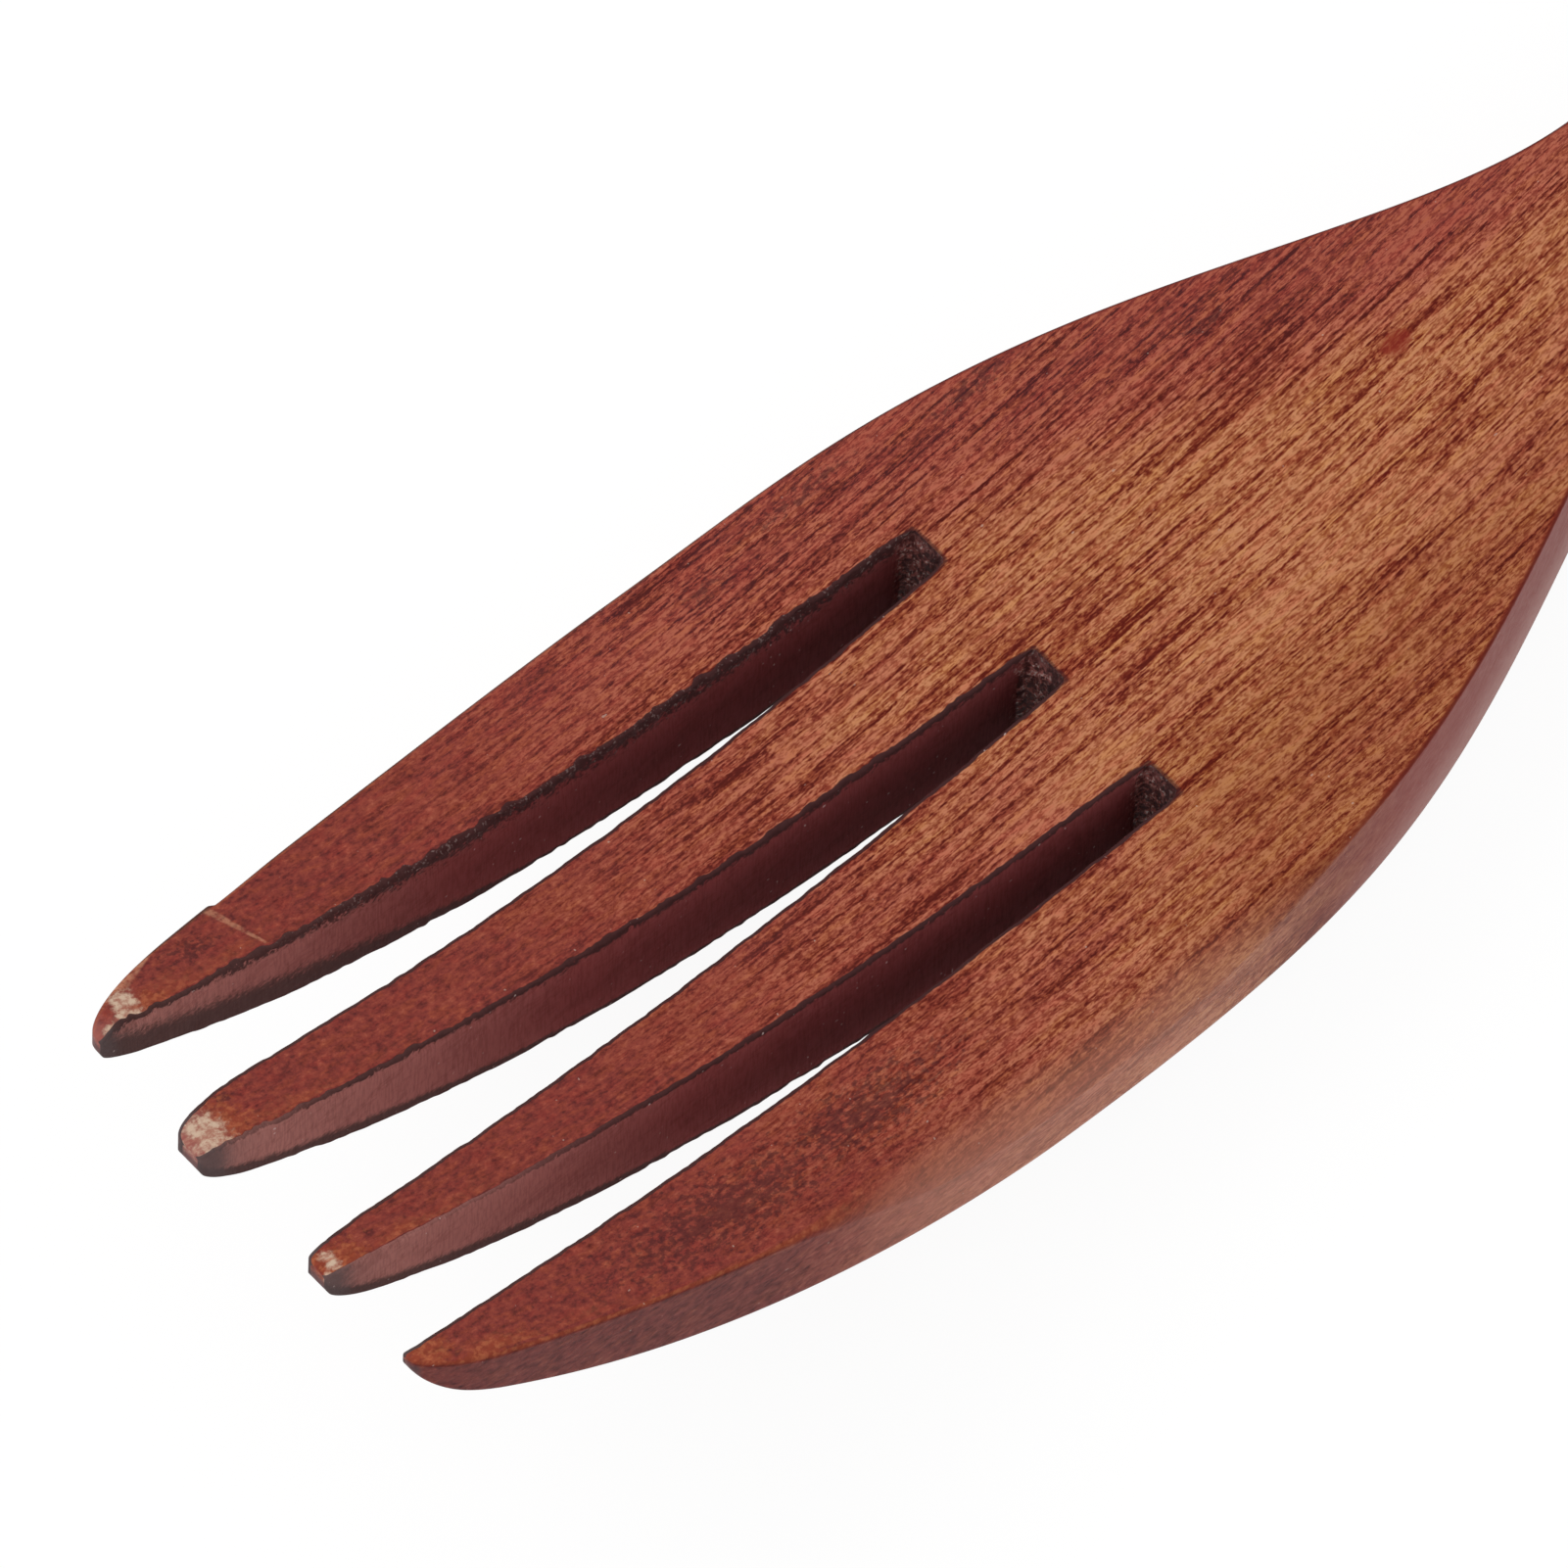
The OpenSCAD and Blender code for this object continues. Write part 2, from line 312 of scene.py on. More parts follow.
def outer_top_edge(x, side):
    """Radius of the top edge: soft along the middle of the left side, crisp elsewhere on the head."""
    soft = ease((x - SIDE_EDGE_START) / SIDE_EDGE_RUN) * ease((SIDE_EDGE_END - x) / SIDE_EDGE_RUN)
    head = mix(TINE_TOP_EDGE, SIDE_TOP_EDGE if side == "left" else TINE_TOP_EDGE, soft)
    on_handle = ease((x - HANDLE_EDGE_START) / (HANDLE_EDGE_END - HANDLE_EDGE_START))
    return mix(head, HANDLE_TOP_EDGE, on_handle)


def outer_low_edge(x):
    head = mix(TINE_LOW_EDGE, PALM_LOW_EDGE, ease(x / TINE_LENGTH))
    return mix(head, NECK_LOW_EDGE, ease((x - NECK_START) / (HANDLE_START - NECK_START)))


LATTICE_TURNS = (12.9898, 78.233, 37.719)
LATTICE_SPREAD = 43758.5453


def lattice(i, j, seed):
    """A random value from 0 to 1 for each crossing, the same on every run."""
    turn = i * LATTICE_TURNS[0] + j * LATTICE_TURNS[1] + seed * LATTICE_TURNS[2]
    return np.mod(np.sin(turn) * LATTICE_SPREAD, 1.0)


def patches(u, v, seed):
    """Smooth random patches from 0 to 1, about one unit across."""
    i, j = np.floor(u), np.floor(v)
    a, b = ease(u - i), ease(v - j)
    low = mix(lattice(i, j, seed), lattice(i + 1, j, seed), a)
    high = mix(lattice(i, j + 1, seed), lattice(i + 1, j + 1, seed), a)
    return mix(low, high, b)


def saw_cut(tine, side, x, depth, thick):
    """How far a slot wall lies behind its plane, and how far its lower edge is broken upwards."""
    seed = SEEDS_PER_TINE * tine + FIRST_SEED[side]
    fade = ease((TINE_LENGTH - x) / CUT_FADE_ROOT) * ease(x / CUT_FADE_TIP)
    coarse = patches(x / COARSE_CHIP[0], depth / COARSE_CHIP[1], seed)
    fine = patches(x / FINE_CHIP[0], depth / FINE_CHIP[1], seed + 1)
    rough = np.clip(coarse + FINE_CHIP_SHARE * fine - CHIP_LEVEL, 0.0, 1.0)
    chips = CHIP_DEPTH[side][tine] * rough * np.exp(-(depth / CHIP_HEIGHT[side][tine]) ** 2)
    short = patches(x / TEAR_LENGTHS[0], seed * TEAR_ROWS[0], seed + 2)
    long = patches(x / TEAR_LENGTHS[1], seed * TEAR_ROWS[1], seed + 3)
    near_foot = np.exp(-((thick - depth) / TEAR_HEIGHT) ** 2)
    rag = (LOW_RAG * (short * long - TEAR_LEVEL) * near_foot
           * ease((x - LOW_RAG_START) / LOW_RAG_RUN))
    waves = SAW_WAVE_DEPTH * patches(x / SAW_WAVE[0] + SAW_WAVE_LEAN * depth, depth / SAW_WAVE[1], seed + 4)
    draft = FOOT_DRAFT[side][tine] * ease(x / FOOT_DRAFT_RUN) * depth / thick
    back = fade * (chips + rag + waves) - draft * ease((TINE_LENGTH - x) / FOOT_DRAFT_FADE)
    return back, fade * LOW_RAG_LIFT * rag


def to_slot_end(x, y):
    """Distance from the nearest slot end, for points behind the slots."""
    reach = []
    for root, width in zip(SLOT_ROOT_Y, SLOT_ROOT_WIDTH):
        beside = np.maximum(0.0, np.abs(y - root) - width / 2)
        reach.append(np.hypot(x - TINE_LENGTH, beside))
    return np.where(x < TINE_LENGTH - SLOT_END_SLACK, FAR_OFF, np.minimum.reduce(reach))


def wall_strips(side):
    return ("low_" + side, side, "top_" + side)


def edge_radii(x, thick, width, sawn):
    """Radius of each of the four edges: the carver's round-over, or the small edge of a saw cut."""
    room = EDGE_SHARE * np.minimum(width, thick)
    slot_edge = SLOT_EDGE * mix(SLOT_EDGE_END_SHARE, 1.0, ease((TINE_LENGTH - x) / SLOT_EDGE_RUN))
    radii = {}
    for side in ("left", "right"):
        is_cut = side in sawn
        radii["top_" + side] = np.minimum(room, slot_edge if is_cut else outer_top_edge(x, side))
        radii["low_" + side] = np.minimum(room, FOOT_EDGE if is_cut else outer_low_edge(x))
    return radii


def outline(left, right, thick, radii, across, under):
    """Sections round from the low right edge, over the top, down the left wall and along the back.

    Returns y and the height over the top face as arrays of (section, place in the section), the strip of
    each place, and how far each place faces sideways, from 0 to 1.
    """
    made = []

    def corner(strip, y, z, first_angle):
        turn = np.radians(first_angle + 90.0 * np.linspace(0.0, 1.0, CORNER_STEPS + 1))
        radius = radii[strip][:, None]
        made.append((strip, y[:, None] + radius * np.cos(turn), z[:, None] + radius * np.sin(turn),
                     np.abs(np.cos(turn))))

    def run(strip, start, end, shares):
        y, z = (mix(a[:, None], b[:, None], shares) for a, b in zip(start, end))
        made.append((strip, y, z, np.full(len(shares), float(strip in ("left", "right")))))

    top_right, top_left = radii["top_right"], radii["top_left"]
    low_right, low_left = radii["low_right"], radii["low_left"]
    level = np.zeros_like(left)
    corner("low_right", right - low_right, low_right - thick, -90)
    run("right", (right, low_right - thick), (right, -top_right), 1.0 - WALL_SHARES[::-1])
    corner("top_right", right - top_right, -top_right, 0)
    run("top", (right - top_right, level), (left + top_left, level), across)
    corner("top_left", left + top_left, -top_left, 90)
    run("left", (left, -top_left), (left, low_left - thick), WALL_SHARES)
    corner("low_left", left + low_left, low_left - thick, 180)
    run("back", (left + low_left, -thick), (right - low_right, -thick), under)
    names, ys, zs, sideways = zip(*made)
    strips = np.repeat(names, [len(facing) for facing in sideways])
    return np.concatenate(ys, 1), np.concatenate(zs, 1), strips, np.concatenate(sideways)


def sections(x, left, right, sawn, columns, inset=0.0, reach=0.0, worn=0.0):
    """Points of the sections at x between two sides, as arrays of (section, place in the section).

    sawn holds the tine's number for each side that is a saw cut, and columns the places across the top and
    the back. inset shrinks the sections, reach draws the tip out, and worn thins it. Returns the points,
    the strip of each place, and the fields that the finishes use.
    """
    across, under = columns
    thick = thickness(x) - 2 * inset - worn * round_drop(x, TIP_WORN_RUN)
    left, right = left + inset, right - inset
    radii = edge_radii(x, thick, right - left, sawn)
    y, z, strips, sideways = outline(left, right, thick, radii, across, under)
    along, deep, depth = x[:, None] + 0.0 * y, thick[:, None], -z
    on_top = strips == "top"
    # Distances: arris from the edge of a cut, negative on top; depth under the top; foot over the lower edge
    # of a slot wall; apart from a slot's right wall; rim from the outline; lip from a tine's left edge. burr
    # is the height of the dark broken band, scorch that of the painted shade along the foot, and side is
    # how far a place faces sideways.
    fields = {
        "arris": -to_slot_end(along, y),
        "depth": depth,
        "foot": np.full_like(y, FAR_OFF),
        "apart": np.full_like(y, FAR_OFF),
        "burr": np.zeros_like(y),
        "scorch": np.zeros_like(y),
        "rim": half_width(x)[:, None] - np.abs(y),
        "side": np.zeros_like(y) + sideways,
        "lip": np.where(on_top & bool(sawn), y - left[:, None], FAR_OFF),
    }
    for side, tine in sawn.items():
        cut = np.isin(strips, wall_strips(side))
        inward = 1.0 if side == "left" else -1.0
        back, lift = saw_cut(tine, side, along[:, cut], depth[:, cut], deep)
        y[:, cut] += inward * back
        z[:, cut] += lift
        chipped = CHIP_HEIGHT[side][tine] * mix(CHIP_TIP_SHARE[side], 1.0, ease(x / CHIP_RUN))
        foot_shaded = mix(FOOT_SHADE_ROOT_HEIGHT, FOOT_SHADE_HEIGHT[tine], ease((FOOT_SHADE_END - x) / FOOT_SHADE_RUN))
        fields["arris"][:, cut] = depth[:, cut]
        fields["foot"][:, cut] = deep - depth[:, cut]
        fields["burr"][:, cut] = chipped[:, None]
        fields["scorch"][:, cut] = foot_shaded[:, None]
        fields["side"][:, cut] = 0.0

    def edge_of(strip, place):
        return y[:, [np.flatnonzero(strips == strip)[place]]]

    # The top and the back reach to the broken edges
    y[:, on_top] = mix(edge_of("top_right", -1), edge_of("top_left", 0), across)
    y[:, strips == "back"] = mix(edge_of("low_left", -1), edge_of("low_right", 0), under)
    for side in sawn:
        to_edge = -np.abs(y[:, on_top] - edge_of("top_" + side, CORNER_STEPS // 2))
        nearer = to_edge > -np.abs(fields["arris"][:, on_top])
        fields["arris"][:, on_top] = np.where(nearer, to_edge, fields["arris"][:, on_top])
    crown = BACK_CROWN * z / deep * (y / half_width(x)[:, None]) ** 2
    height = (top(x) - inset)[:, None] + z - crown
    drawn_out = along - reach * ease((TIP_REACH_RUN - along) / TIP_REACH_RUN)
    return np.stack((drawn_out - FORK_LENGTH / 2, y, height), -1), strips, fields


def grid_normals(points):
    """Outward normals of a lofted grid of sections."""
    round_it = np.roll(points, -1, 1) - np.roll(points, 1, 1)
    return unit(np.cross(round_it, np.gradient(points, axis=0)))


def loft(name, x, section, finishes, sawn_sides=(), ghosts=(True, True), front=None):
    """Closed mesh through the sections at x, with the first finish, and the second where it was cut.

    A ghost section past an end keeps the shading unbroken there. front makes the face at the start.
    """
    before, after = ghosts
    stations = np.concatenate(([x[0] - GHOST_STEP] * before, x, [x[-1] + GHOST_STEP] * after))
    points, strips, fields = section(stations)
    keep = slice(int(before), int(before) + len(x))
    normals = grid_normals(points)[keep].reshape(-1, 3)
    points = points[keep]
    fields = {field: values[keep].ravel() for field, values in fields.items()}
    rows, count = points.shape[:2]

    i, j = np.meshgrid(np.arange(rows - 1), np.arange(count), indexing="ij")
    k = (j + 1) % count
    quads = np.stack((i * count + j, i * count + k, (i + 1) * count + k, (i + 1) * count + j), -1)
    cut = np.zeros(count, bool)
    for side in sawn_sides:
        mine = np.isin(strips, wall_strips(side))
        cut |= mine & np.roll(mine, -1)
    faces = quads.reshape(-1, 4).tolist()
    face_finish = np.tile(cut.astype(int), rows - 1).tolist()
    loop_normals = normals[quads.ravel()].tolist()

    if front is None:
        faces.append(list(range(count - 1, -1, -1)))
        face_finish.append(0)
        loop_normals += [(-1.0, 0.0, 0.0)] * count
        verts = points.reshape(-1, 3)
    else:
        inner, inner_fields, cap_faces, cap_finish, cap_normals = front(points[0], strips)
        to_inner = rows * count - count
        faces += [[v if v < count else v + to_inner for v in face] for face in cap_faces]
        face_finish += cap_finish
        loop_normals += cap_normals
        verts = np.concatenate((points.reshape(-1, 3), inner))
        plain = np.zeros(len(inner))
        fields = {field: np.concatenate((values, inner_fields.get(field, plain)))
                  for field, values in fields.items()}
    faces.append(list(range((rows - 1) * count, rows * count)))
    face_finish.append(0)
    loop_normals += [(1.0, 0.0, 0.0)] * count

    mesh = bpy.data.meshes.new(name)
    mesh.from_pydata((verts * MM).tolist(), [], faces)
    for finish in finishes:
        mesh.materials.append(finish)
    mesh.polygons.foreach_set("material_index", face_finish)
    mesh.polygons.foreach_set("use_smooth", [True] * len(faces))
    for field, values in fields.items():
        made = mesh.attributes.new(field, "FLOAT", "POINT")
        made.data.foreach_set("value", values.astype(np.float32))
    mesh.normals_split_custom_set(loop_normals)
    piece = bpy.data.objects.new(name, mesh)
    bpy.context.scene.collection.objects.link(piece)
    return piece


def torn_slot_ends(y, depth):
    """Torn wood at the slot ends, for places on the palm's front.

    Returns how far it stands out, where it is, its distance from the slot's right wall, how far its fillets
    have turned from the walls, and the way the nearer wall faces.
    """
    out, torn, apart = np.zeros_like(y), np.zeros(y.shape, bool), np.full_like(y, FAR_OFF)
    turned, facing = np.ones_like(y), np.zeros(y.shape + (3,))
    for slot in range(SLOT_COUNT):
        left, right = (slot_wall(slot, TINE_LENGTH, side) for side in (-1, 1))
        to_wall = np.minimum(y - left, right - y)
        inside = to_wall > -TINY
        fillet = mix(SLOT_END_FILLET[slot], SLOT_END_DEEP_FILLET, ease(depth / SLOT_END_FILLET_RUN))
        drop = round_drop(to_wall, fillet)
        tufts = sum(patches(y / wide, depth / tall, seed + slot) for wide, tall, seed in TORN_TUFTS)
        rough = SLOT_END_ROUGH * tufts * ease(depth / SLOT_END_ROUGH_RUN)
        out = np.where(inside, rough + fillet * drop, out)
        torn |= inside
        apart = np.where(inside, np.maximum(right - y, 0.0), apart)
        turned = np.where(inside, 1.0 - drop, turned)
        facing[..., 1] = np.where(inside, np.where(y - left < right - y, 1.0, -1.0), facing[..., 1])
    return out, torn, apart, turned, facing


def torn_front(ring, strips):
    """Front of the palm: torn wood where the slots end, flat where the tines grow out of it.

    The ring's top edge moves out to the fillets. Returns the points inside the ring and their fields, and
    the faces, which count the ring's points first, with their finish and the normals of their corners.
    """
    upper = np.flatnonzero(strips == "top")
    lower = np.flatnonzero(strips == "back")[::-1]
    shares = np.concatenate(((0.0,), WALL_SHARES, (1.0,)))
    grid = mix(ring[upper][:, None, :], ring[lower][:, None, :], shares[None, :, None])
    y, depth = grid[..., 1], shares[None, :] * thickness(np.array(TINE_LENGTH))
    out, torn, apart, turned, facing = torn_slot_ends(y, depth)
    grid[..., 0] -= out
    ring[upper, 0] = grid[:, 0, 0]
    normals = unit(np.cross(np.gradient(grid, axis=1), np.gradient(grid, axis=0)))
    normals = unit(mix(facing, normals, turned[..., None]))

    columns, rows = y.shape
    index = len(ring) + np.arange(columns * (rows - 2)).reshape(columns, rows - 2)
    index = np.concatenate((upper[:, None], index, lower[:, None]), 1)
    faces, finish, loops = [], [], []
    for c in range(columns - 1):
        for r in range(rows - 1):
            corners = ((c, r), (c, r + 1), (c + 1, r + 1), (c + 1, r))
            faces.append([int(index[p]) for p in corners])
            finish.append(int(torn[c, r] or torn[c + 1, r]))
            loops += [normals[p].tolist() for p in corners]
    right_end = list(range(upper[0], -1, -1)) + [int(v) for v in index[0][:0:-1]]
    left_end = list(range(lower[-1], upper[-1] - 1, -1)) + [int(v) for v in index[-1][1:-1]]
    for face in (right_end, left_end):
        faces.append(face)
        finish.append(0)
        loops += [(-1.0, 0.0, 0.0)] * len(face)
    inner = grid[:, 1:-1].reshape(-1, 3)
    away = np.full(len(inner), FAR_OFF)
    fields = {"arris": np.broadcast_to(depth, y.shape)[:, 1:-1].ravel(), "apart": apart[:, 1:-1].ravel(),
              "foot": away, "rim": away, "lip": away}
    return inner, fields, faces, finish, loops


# Finishes

def srgb(red, green, blue):
    """A colour as seen on a screen, 0 to 255, as a shader colour."""
    def line(v):
        v /= 255.0
        return v / 12.92 if v <= 0.04045 else ((v + 0.055) / 1.055) ** 2.4
    return (line(red), line(green), line(blue), 1.0)


def even_stops(*colours):
    return [(i / (len(colours) - 1), colour) for i, colour in enumerate(colours)]


class Layer(NamedTuple):
    """A noise in the wood, as patches per millimetre along x, y and z.

    marks are the levels at which its marks start and are full.
    """
    cycles: tuple
    detail: float = 2.0
    roughness: float = 0.5
    shift: tuple = ()
    marks: tuple = ()


class Shade(NamedTuple):
    """A colour that is laid over the wood: how strongly, and whether it mixes or multiplies."""
    colour: tuple
    strength: float = 1.0
    blend: str = "MIX"


class Spots(NamedTuple):
    """Spots as seen from above: x, y, half length and half width.

    broken is how far noise breaks up their edges, and marks the levels at which they start and are full.
    """
    places: tuple
    broken: float
    marks: tuple


class Stroke(NamedTuple):
    """A line as seen from above, between two places, and its half widths at them."""
    start: tuple
    end: tuple
    widths: tuple


NOISE_MIDDLE = 0.5
STROKE_EDGE = (1.0, 0.4)
# Places of the colours among a Mix node's inputs, and of their mix among its outputs
MIX_UNDER, MIX_OVER, MIXED = 6, 7, 2


class Nodes:
    """Adds shader nodes to one tree. An input is a value or another node's output."""

    def __init__(self, tree):
        self.tree = tree

    def add(self, kind, inputs, **settings):
        """Adds a node and returns its outputs."""
        node = self.tree.nodes.new(kind)
        for key, value in settings.items():
            setattr(node, key, value)
        for key, value in inputs.items():
            if isinstance(value, bpy.types.NodeSocket):
                self.tree.links.new(value, node.inputs[key])
            else:
                node.inputs[key].default_value = value
        return node.outputs

    def use(self, group, **inputs):
        return self.add("ShaderNodeGroup", inputs, node_tree=group)

    def field(self, name):
        return self.add("ShaderNodeAttribute", {}, attribute_name=name)["Fac"]

    def calc(self, operation, a, b=0.0, clamp=False):
        return self.add("ShaderNodeMath", {0: a, 1: b}, operation=operation, use_clamp=clamp)[0]

    def plus(self, *terms):
        return reduce(lambda a, b: self.calc("ADD", a, b), terms)

    def minus(self, a, b):
        return self.calc("SUBTRACT", a, b)

    def times(self, *factors):
        return reduce(lambda a, b: self.calc("MULTIPLY", a, b), factors)

    def per(self, a, b):
        return self.calc("DIVIDE", a, b)

    def most(self, *values):
        return reduce(lambda a, b: self.calc("MAXIMUM", a, b), values)

    def vec(self, operation, a, b):
        return self.add("ShaderNodeVectorMath", {0: a, 1: b}, operation=operation)[0]

    def length(self, vector):
        return self.add("ShaderNodeVectorMath", {0: vector}, operation="LENGTH")["Value"]

    def climb(self, value, start, end, to=1.0):
        """Smooth rise from 0 at start to a height at end."""
        return self.add("ShaderNodeMapRange", {"Value": value, "From Min": start, "From Max": end,
                                               "To Min": 0.0, "To Max": to},
                        interpolation_type="SMOOTHSTEP")["Result"]

    def rise(self, value, run, to=1.0):
        """Smooth rise from 0 at a run's start to a height at its end; the start may be the larger."""
        start, end = run
        if start > end:
            return self.minus(to, self.climb(value, end, start, to))
        return self.climb(value, start, end, to)

    def band(self, value, runs):
        """1 between a run at which a band starts and one at which it ends."""
        return self.times(*(self.rise(value, run) for run in runs))

    def tint(self, share, under, over, blend="MIX"):
        return self.add("ShaderNodeMix", {0: share, MIX_UNDER: under, MIX_OVER: over},
                        data_type="RGBA", blend_type=blend)[MIXED]

    def lay(self, shade, mask, colour):
        share = mask if shade.strength == 1.0 else self.times(mask, shade.strength)
        return self.tint(share, colour, shade.colour, shade.blend)

    def ramp(self, value, stops):
        node = self.tree.nodes.new("ShaderNodeValToRGB")
        while len(node.color_ramp.elements) < len(stops):
            node.color_ramp.elements.new(1.0)
        for element, (position, colour) in zip(node.color_ramp.elements, stops):
            element.position, element.color = position, colour
        self.tree.links.new(value, node.inputs[0])
        return node.outputs[0]

    def noise(self, place, layer):
        if layer.shift:
            place = self.vec("ADD", place, layer.shift)
        stretched = self.vec("MULTIPLY", place, layer.cycles)
        return self.add("ShaderNodeTexNoise", {"Vector": stretched, "Scale": 1.0, "Detail": layer.detail,
                                               "Roughness": layer.roughness})["Fac"]

    def centred(self, place, layer):
        return self.minus(self.noise(place, layer), NOISE_MIDDLE)

    def spots(self, kind, place, noise):
        """1 in the middle of a kind's spots, 0 off them, with edges broken by a noise."""
        nearness = []
        for x, y, along, across in kind.places:
            apart = self.vec("SUBTRACT", place, (x, y, 0.0))
            apart = self.vec("MULTIPLY", apart, (1 / along, 1 / across, 0.0))
            nearness.append(self.minus(1.0, self.length(apart)))
        return self.rise(self.plus(self.most(*nearness), self.times(noise, kind.broken)), kind.marks)

    def stroke(self, kind, place):
        """1 on a line as seen from above, 0 off it."""
        start, run = Vector((*kind.start, 0.0)), Vector((*kind.end, 0.0)) - Vector((*kind.start, 0.0))
        offset = self.vec("MULTIPLY", self.vec("SUBTRACT", place, start), (1.0, 1.0, 0.0))
        share = self.add("ShaderNodeVectorMath", {0: offset, 1: run / run.length_squared},
                         operation="DOT_PRODUCT")["Value"]
        share = self.calc("MINIMUM", self.most(share, 0.0), 1.0)
        nearest = self.add("ShaderNodeVectorMath", {0: run, "Scale": share}, operation="SCALE")[0]
        apart = self.length(self.vec("SUBTRACT", offset, nearest))
        width = self.plus(kind.widths[0], self.times(share, kind.widths[1] - kind.widths[0]))
        return self.rise(self.per(apart, width), STROKE_EDGE)


FLOAT, COLOUR, VECTOR = "NodeSocketFloat", "NodeSocketColor", "NodeSocketVector"


def new_group(name, inputs, outputs):
    tree = bpy.data.node_groups.new(name, "ShaderNodeTree")
    for label, kind, default in inputs:
        made = tree.interface.new_socket(label, in_out="INPUT", socket_type=kind)
        if default is not None:
            made.default_value = default
    for label, kind in outputs:
        tree.interface.new_socket(label, in_out="OUTPUT", socket_type=kind)
    return Nodes(tree), tree.nodes.new("NodeGroupInput").outputs, tree.nodes.new("NodeGroupOutput").inputs


# The board: short dashes of cut pores, fine and bold streaks, flow lines, broad patches and mottles
GRAIN_TURN = math.radians(3.2)
SWAY = Layer((0.02, 0.05, 0.05), 1.0)
SWAY_WIDTH = 1.2
DASHES = Layer((2.1, 8.5, 6.5), 3.0, 0.7, marks=(0.41, 0.58))
DASH_TONE = 0.52
FINE_STREAKS = Layer((0.1, 4.4, 0.8), 2.0, 0.5, (7.0, 3.0, 9.0), (0.5, 0.61))
BOLD_STREAKS = Layer((0.05, 1.5, 0.35), 3.0, 0.55, (50.0, 21.0, 3.0), (0.58, 0.65))
STREAK_RAG = -0.12
STREAK_DEPTH = 0.4
FLOW_LINES = Layer((0.22, 5.5, 2.2), 1.0, 0.5, (2.0, 71.0, 13.0))
BROAD_PATCHES = Layer((0.05, 0.35, 0.2))
MOTTLES = Layer((2.2, 2.6, 2.2), 3.0, 0.6, (9.0, 33.0, 4.0))
TONE_WEIGHTS = ((FLOW_LINES, 1.0), (BROAD_PATCHES, 0.6), (MOTTLES, 0.95))
# Where stain covers the pores, soft clouds show, with a trace of the grain
SOFT_CLOUDS = Layer((1.5, 3.0, 2.5), 4.0, 0.65, (31.0, 5.0, 0.0))
CLOUD_WEIGHT = 1.7
TRACE_WEIGHT = 0.2
MEAN_TONE = 0.55
MID_TONE = 0.5


def wood_grain():
    """Tone of the board, 0 dark to 1 light, fixed in space, so that every face cuts its own figure.

    Cover is how far the stain hides the pores and leaves soft clouds.
    """
    n, given, out = new_group(
        "wood grain",
        [("Place", VECTOR, None), ("Cover", FLOAT, 0.0), ("Streaks", FLOAT, 1.0)],
        [("Tone", FLOAT)])
    turned = n.add("ShaderNodeVectorRotate",
                   {"Vector": given["Place"], "Axis": (0, 0, 1), "Angle": -GRAIN_TURN},
                   rotation_type="AXIS_ANGLE")[0]
    sway = n.times(n.noise(turned, SWAY), SWAY_WIDTH)
    place = n.vec("ADD", turned, n.add("ShaderNodeCombineXYZ", {"Y": sway})[0])
    dashes = n.noise(place, DASHES)
    rag = n.times(n.minus(dashes, NOISE_MIDDLE), STREAK_RAG)
    fine, bold = (n.rise(n.plus(n.noise(place, streaks), rag), streaks.marks)
                  for streaks in (FINE_STREAKS, BOLD_STREAKS))
    tone = n.plus(DASH_TONE, n.rise(dashes, DASHES.marks, 1.0 - DASH_TONE))
    for layer, weight in TONE_WEIGHTS:
        tone = n.plus(tone, n.times(n.centred(place, layer), weight))
    lines = n.times(n.plus(fine, bold), STREAK_DEPTH, given["Streaks"])
    tone = n.calc("SUBTRACT", tone, lines, clamp=True)
    soft = n.plus(MID_TONE, n.times(n.centred(place, SOFT_CLOUDS), CLOUD_WEIGHT),
                  n.times(n.minus(tone, MEAN_TONE), TRACE_WEIGHT))
    shown = n.add("ShaderNodeMix", {0: given["Cover"], 2: tone, 3: soft}, data_type="FLOAT")[0]
    n.tree.links.new(shown, out["Tone"])
    return n.tree


# The stain from the darkest pores to the lightest wood: on the palm, along its edges and the middle of the
# tines, and at the tips
HONEY = even_stops(srgb(102, 29, 19), srgb(132, 51, 32), srgb(162, 86, 55), srgb(185, 113, 74),
                   srgb(212, 145, 103))
RUSSET = even_stops(srgb(89, 29, 24), srgb(117, 45, 36), srgb(147, 66, 51), srgb(169, 88, 67),
                    srgb(199, 117, 91))
MAROON = even_stops(srgb(84, 38, 41), srgb(112, 50, 47), srgb(140, 62, 55), srgb(159, 74, 61),
                    srgb(183, 98, 78))
TO_RUSSET = (0.0, 0.6)
TO_MAROON = (0.5, 1.0)
# Patches of a warmer and of a redder hue
HUE_PATCHES = Layer((0.4, 2.0, 1.2), 3.0, 0.6)
WARM_PATCHES = (0.5, 0.64)
RED_PATCHES = (0.5, 0.36)
WARMER = Shade((1.06, 1.08, 0.84, 1.0), 0.6, "MULTIPLY")
REDDER = Shade((1.02, 0.82, 0.84, 1.0), 0.6, "MULTIPLY")


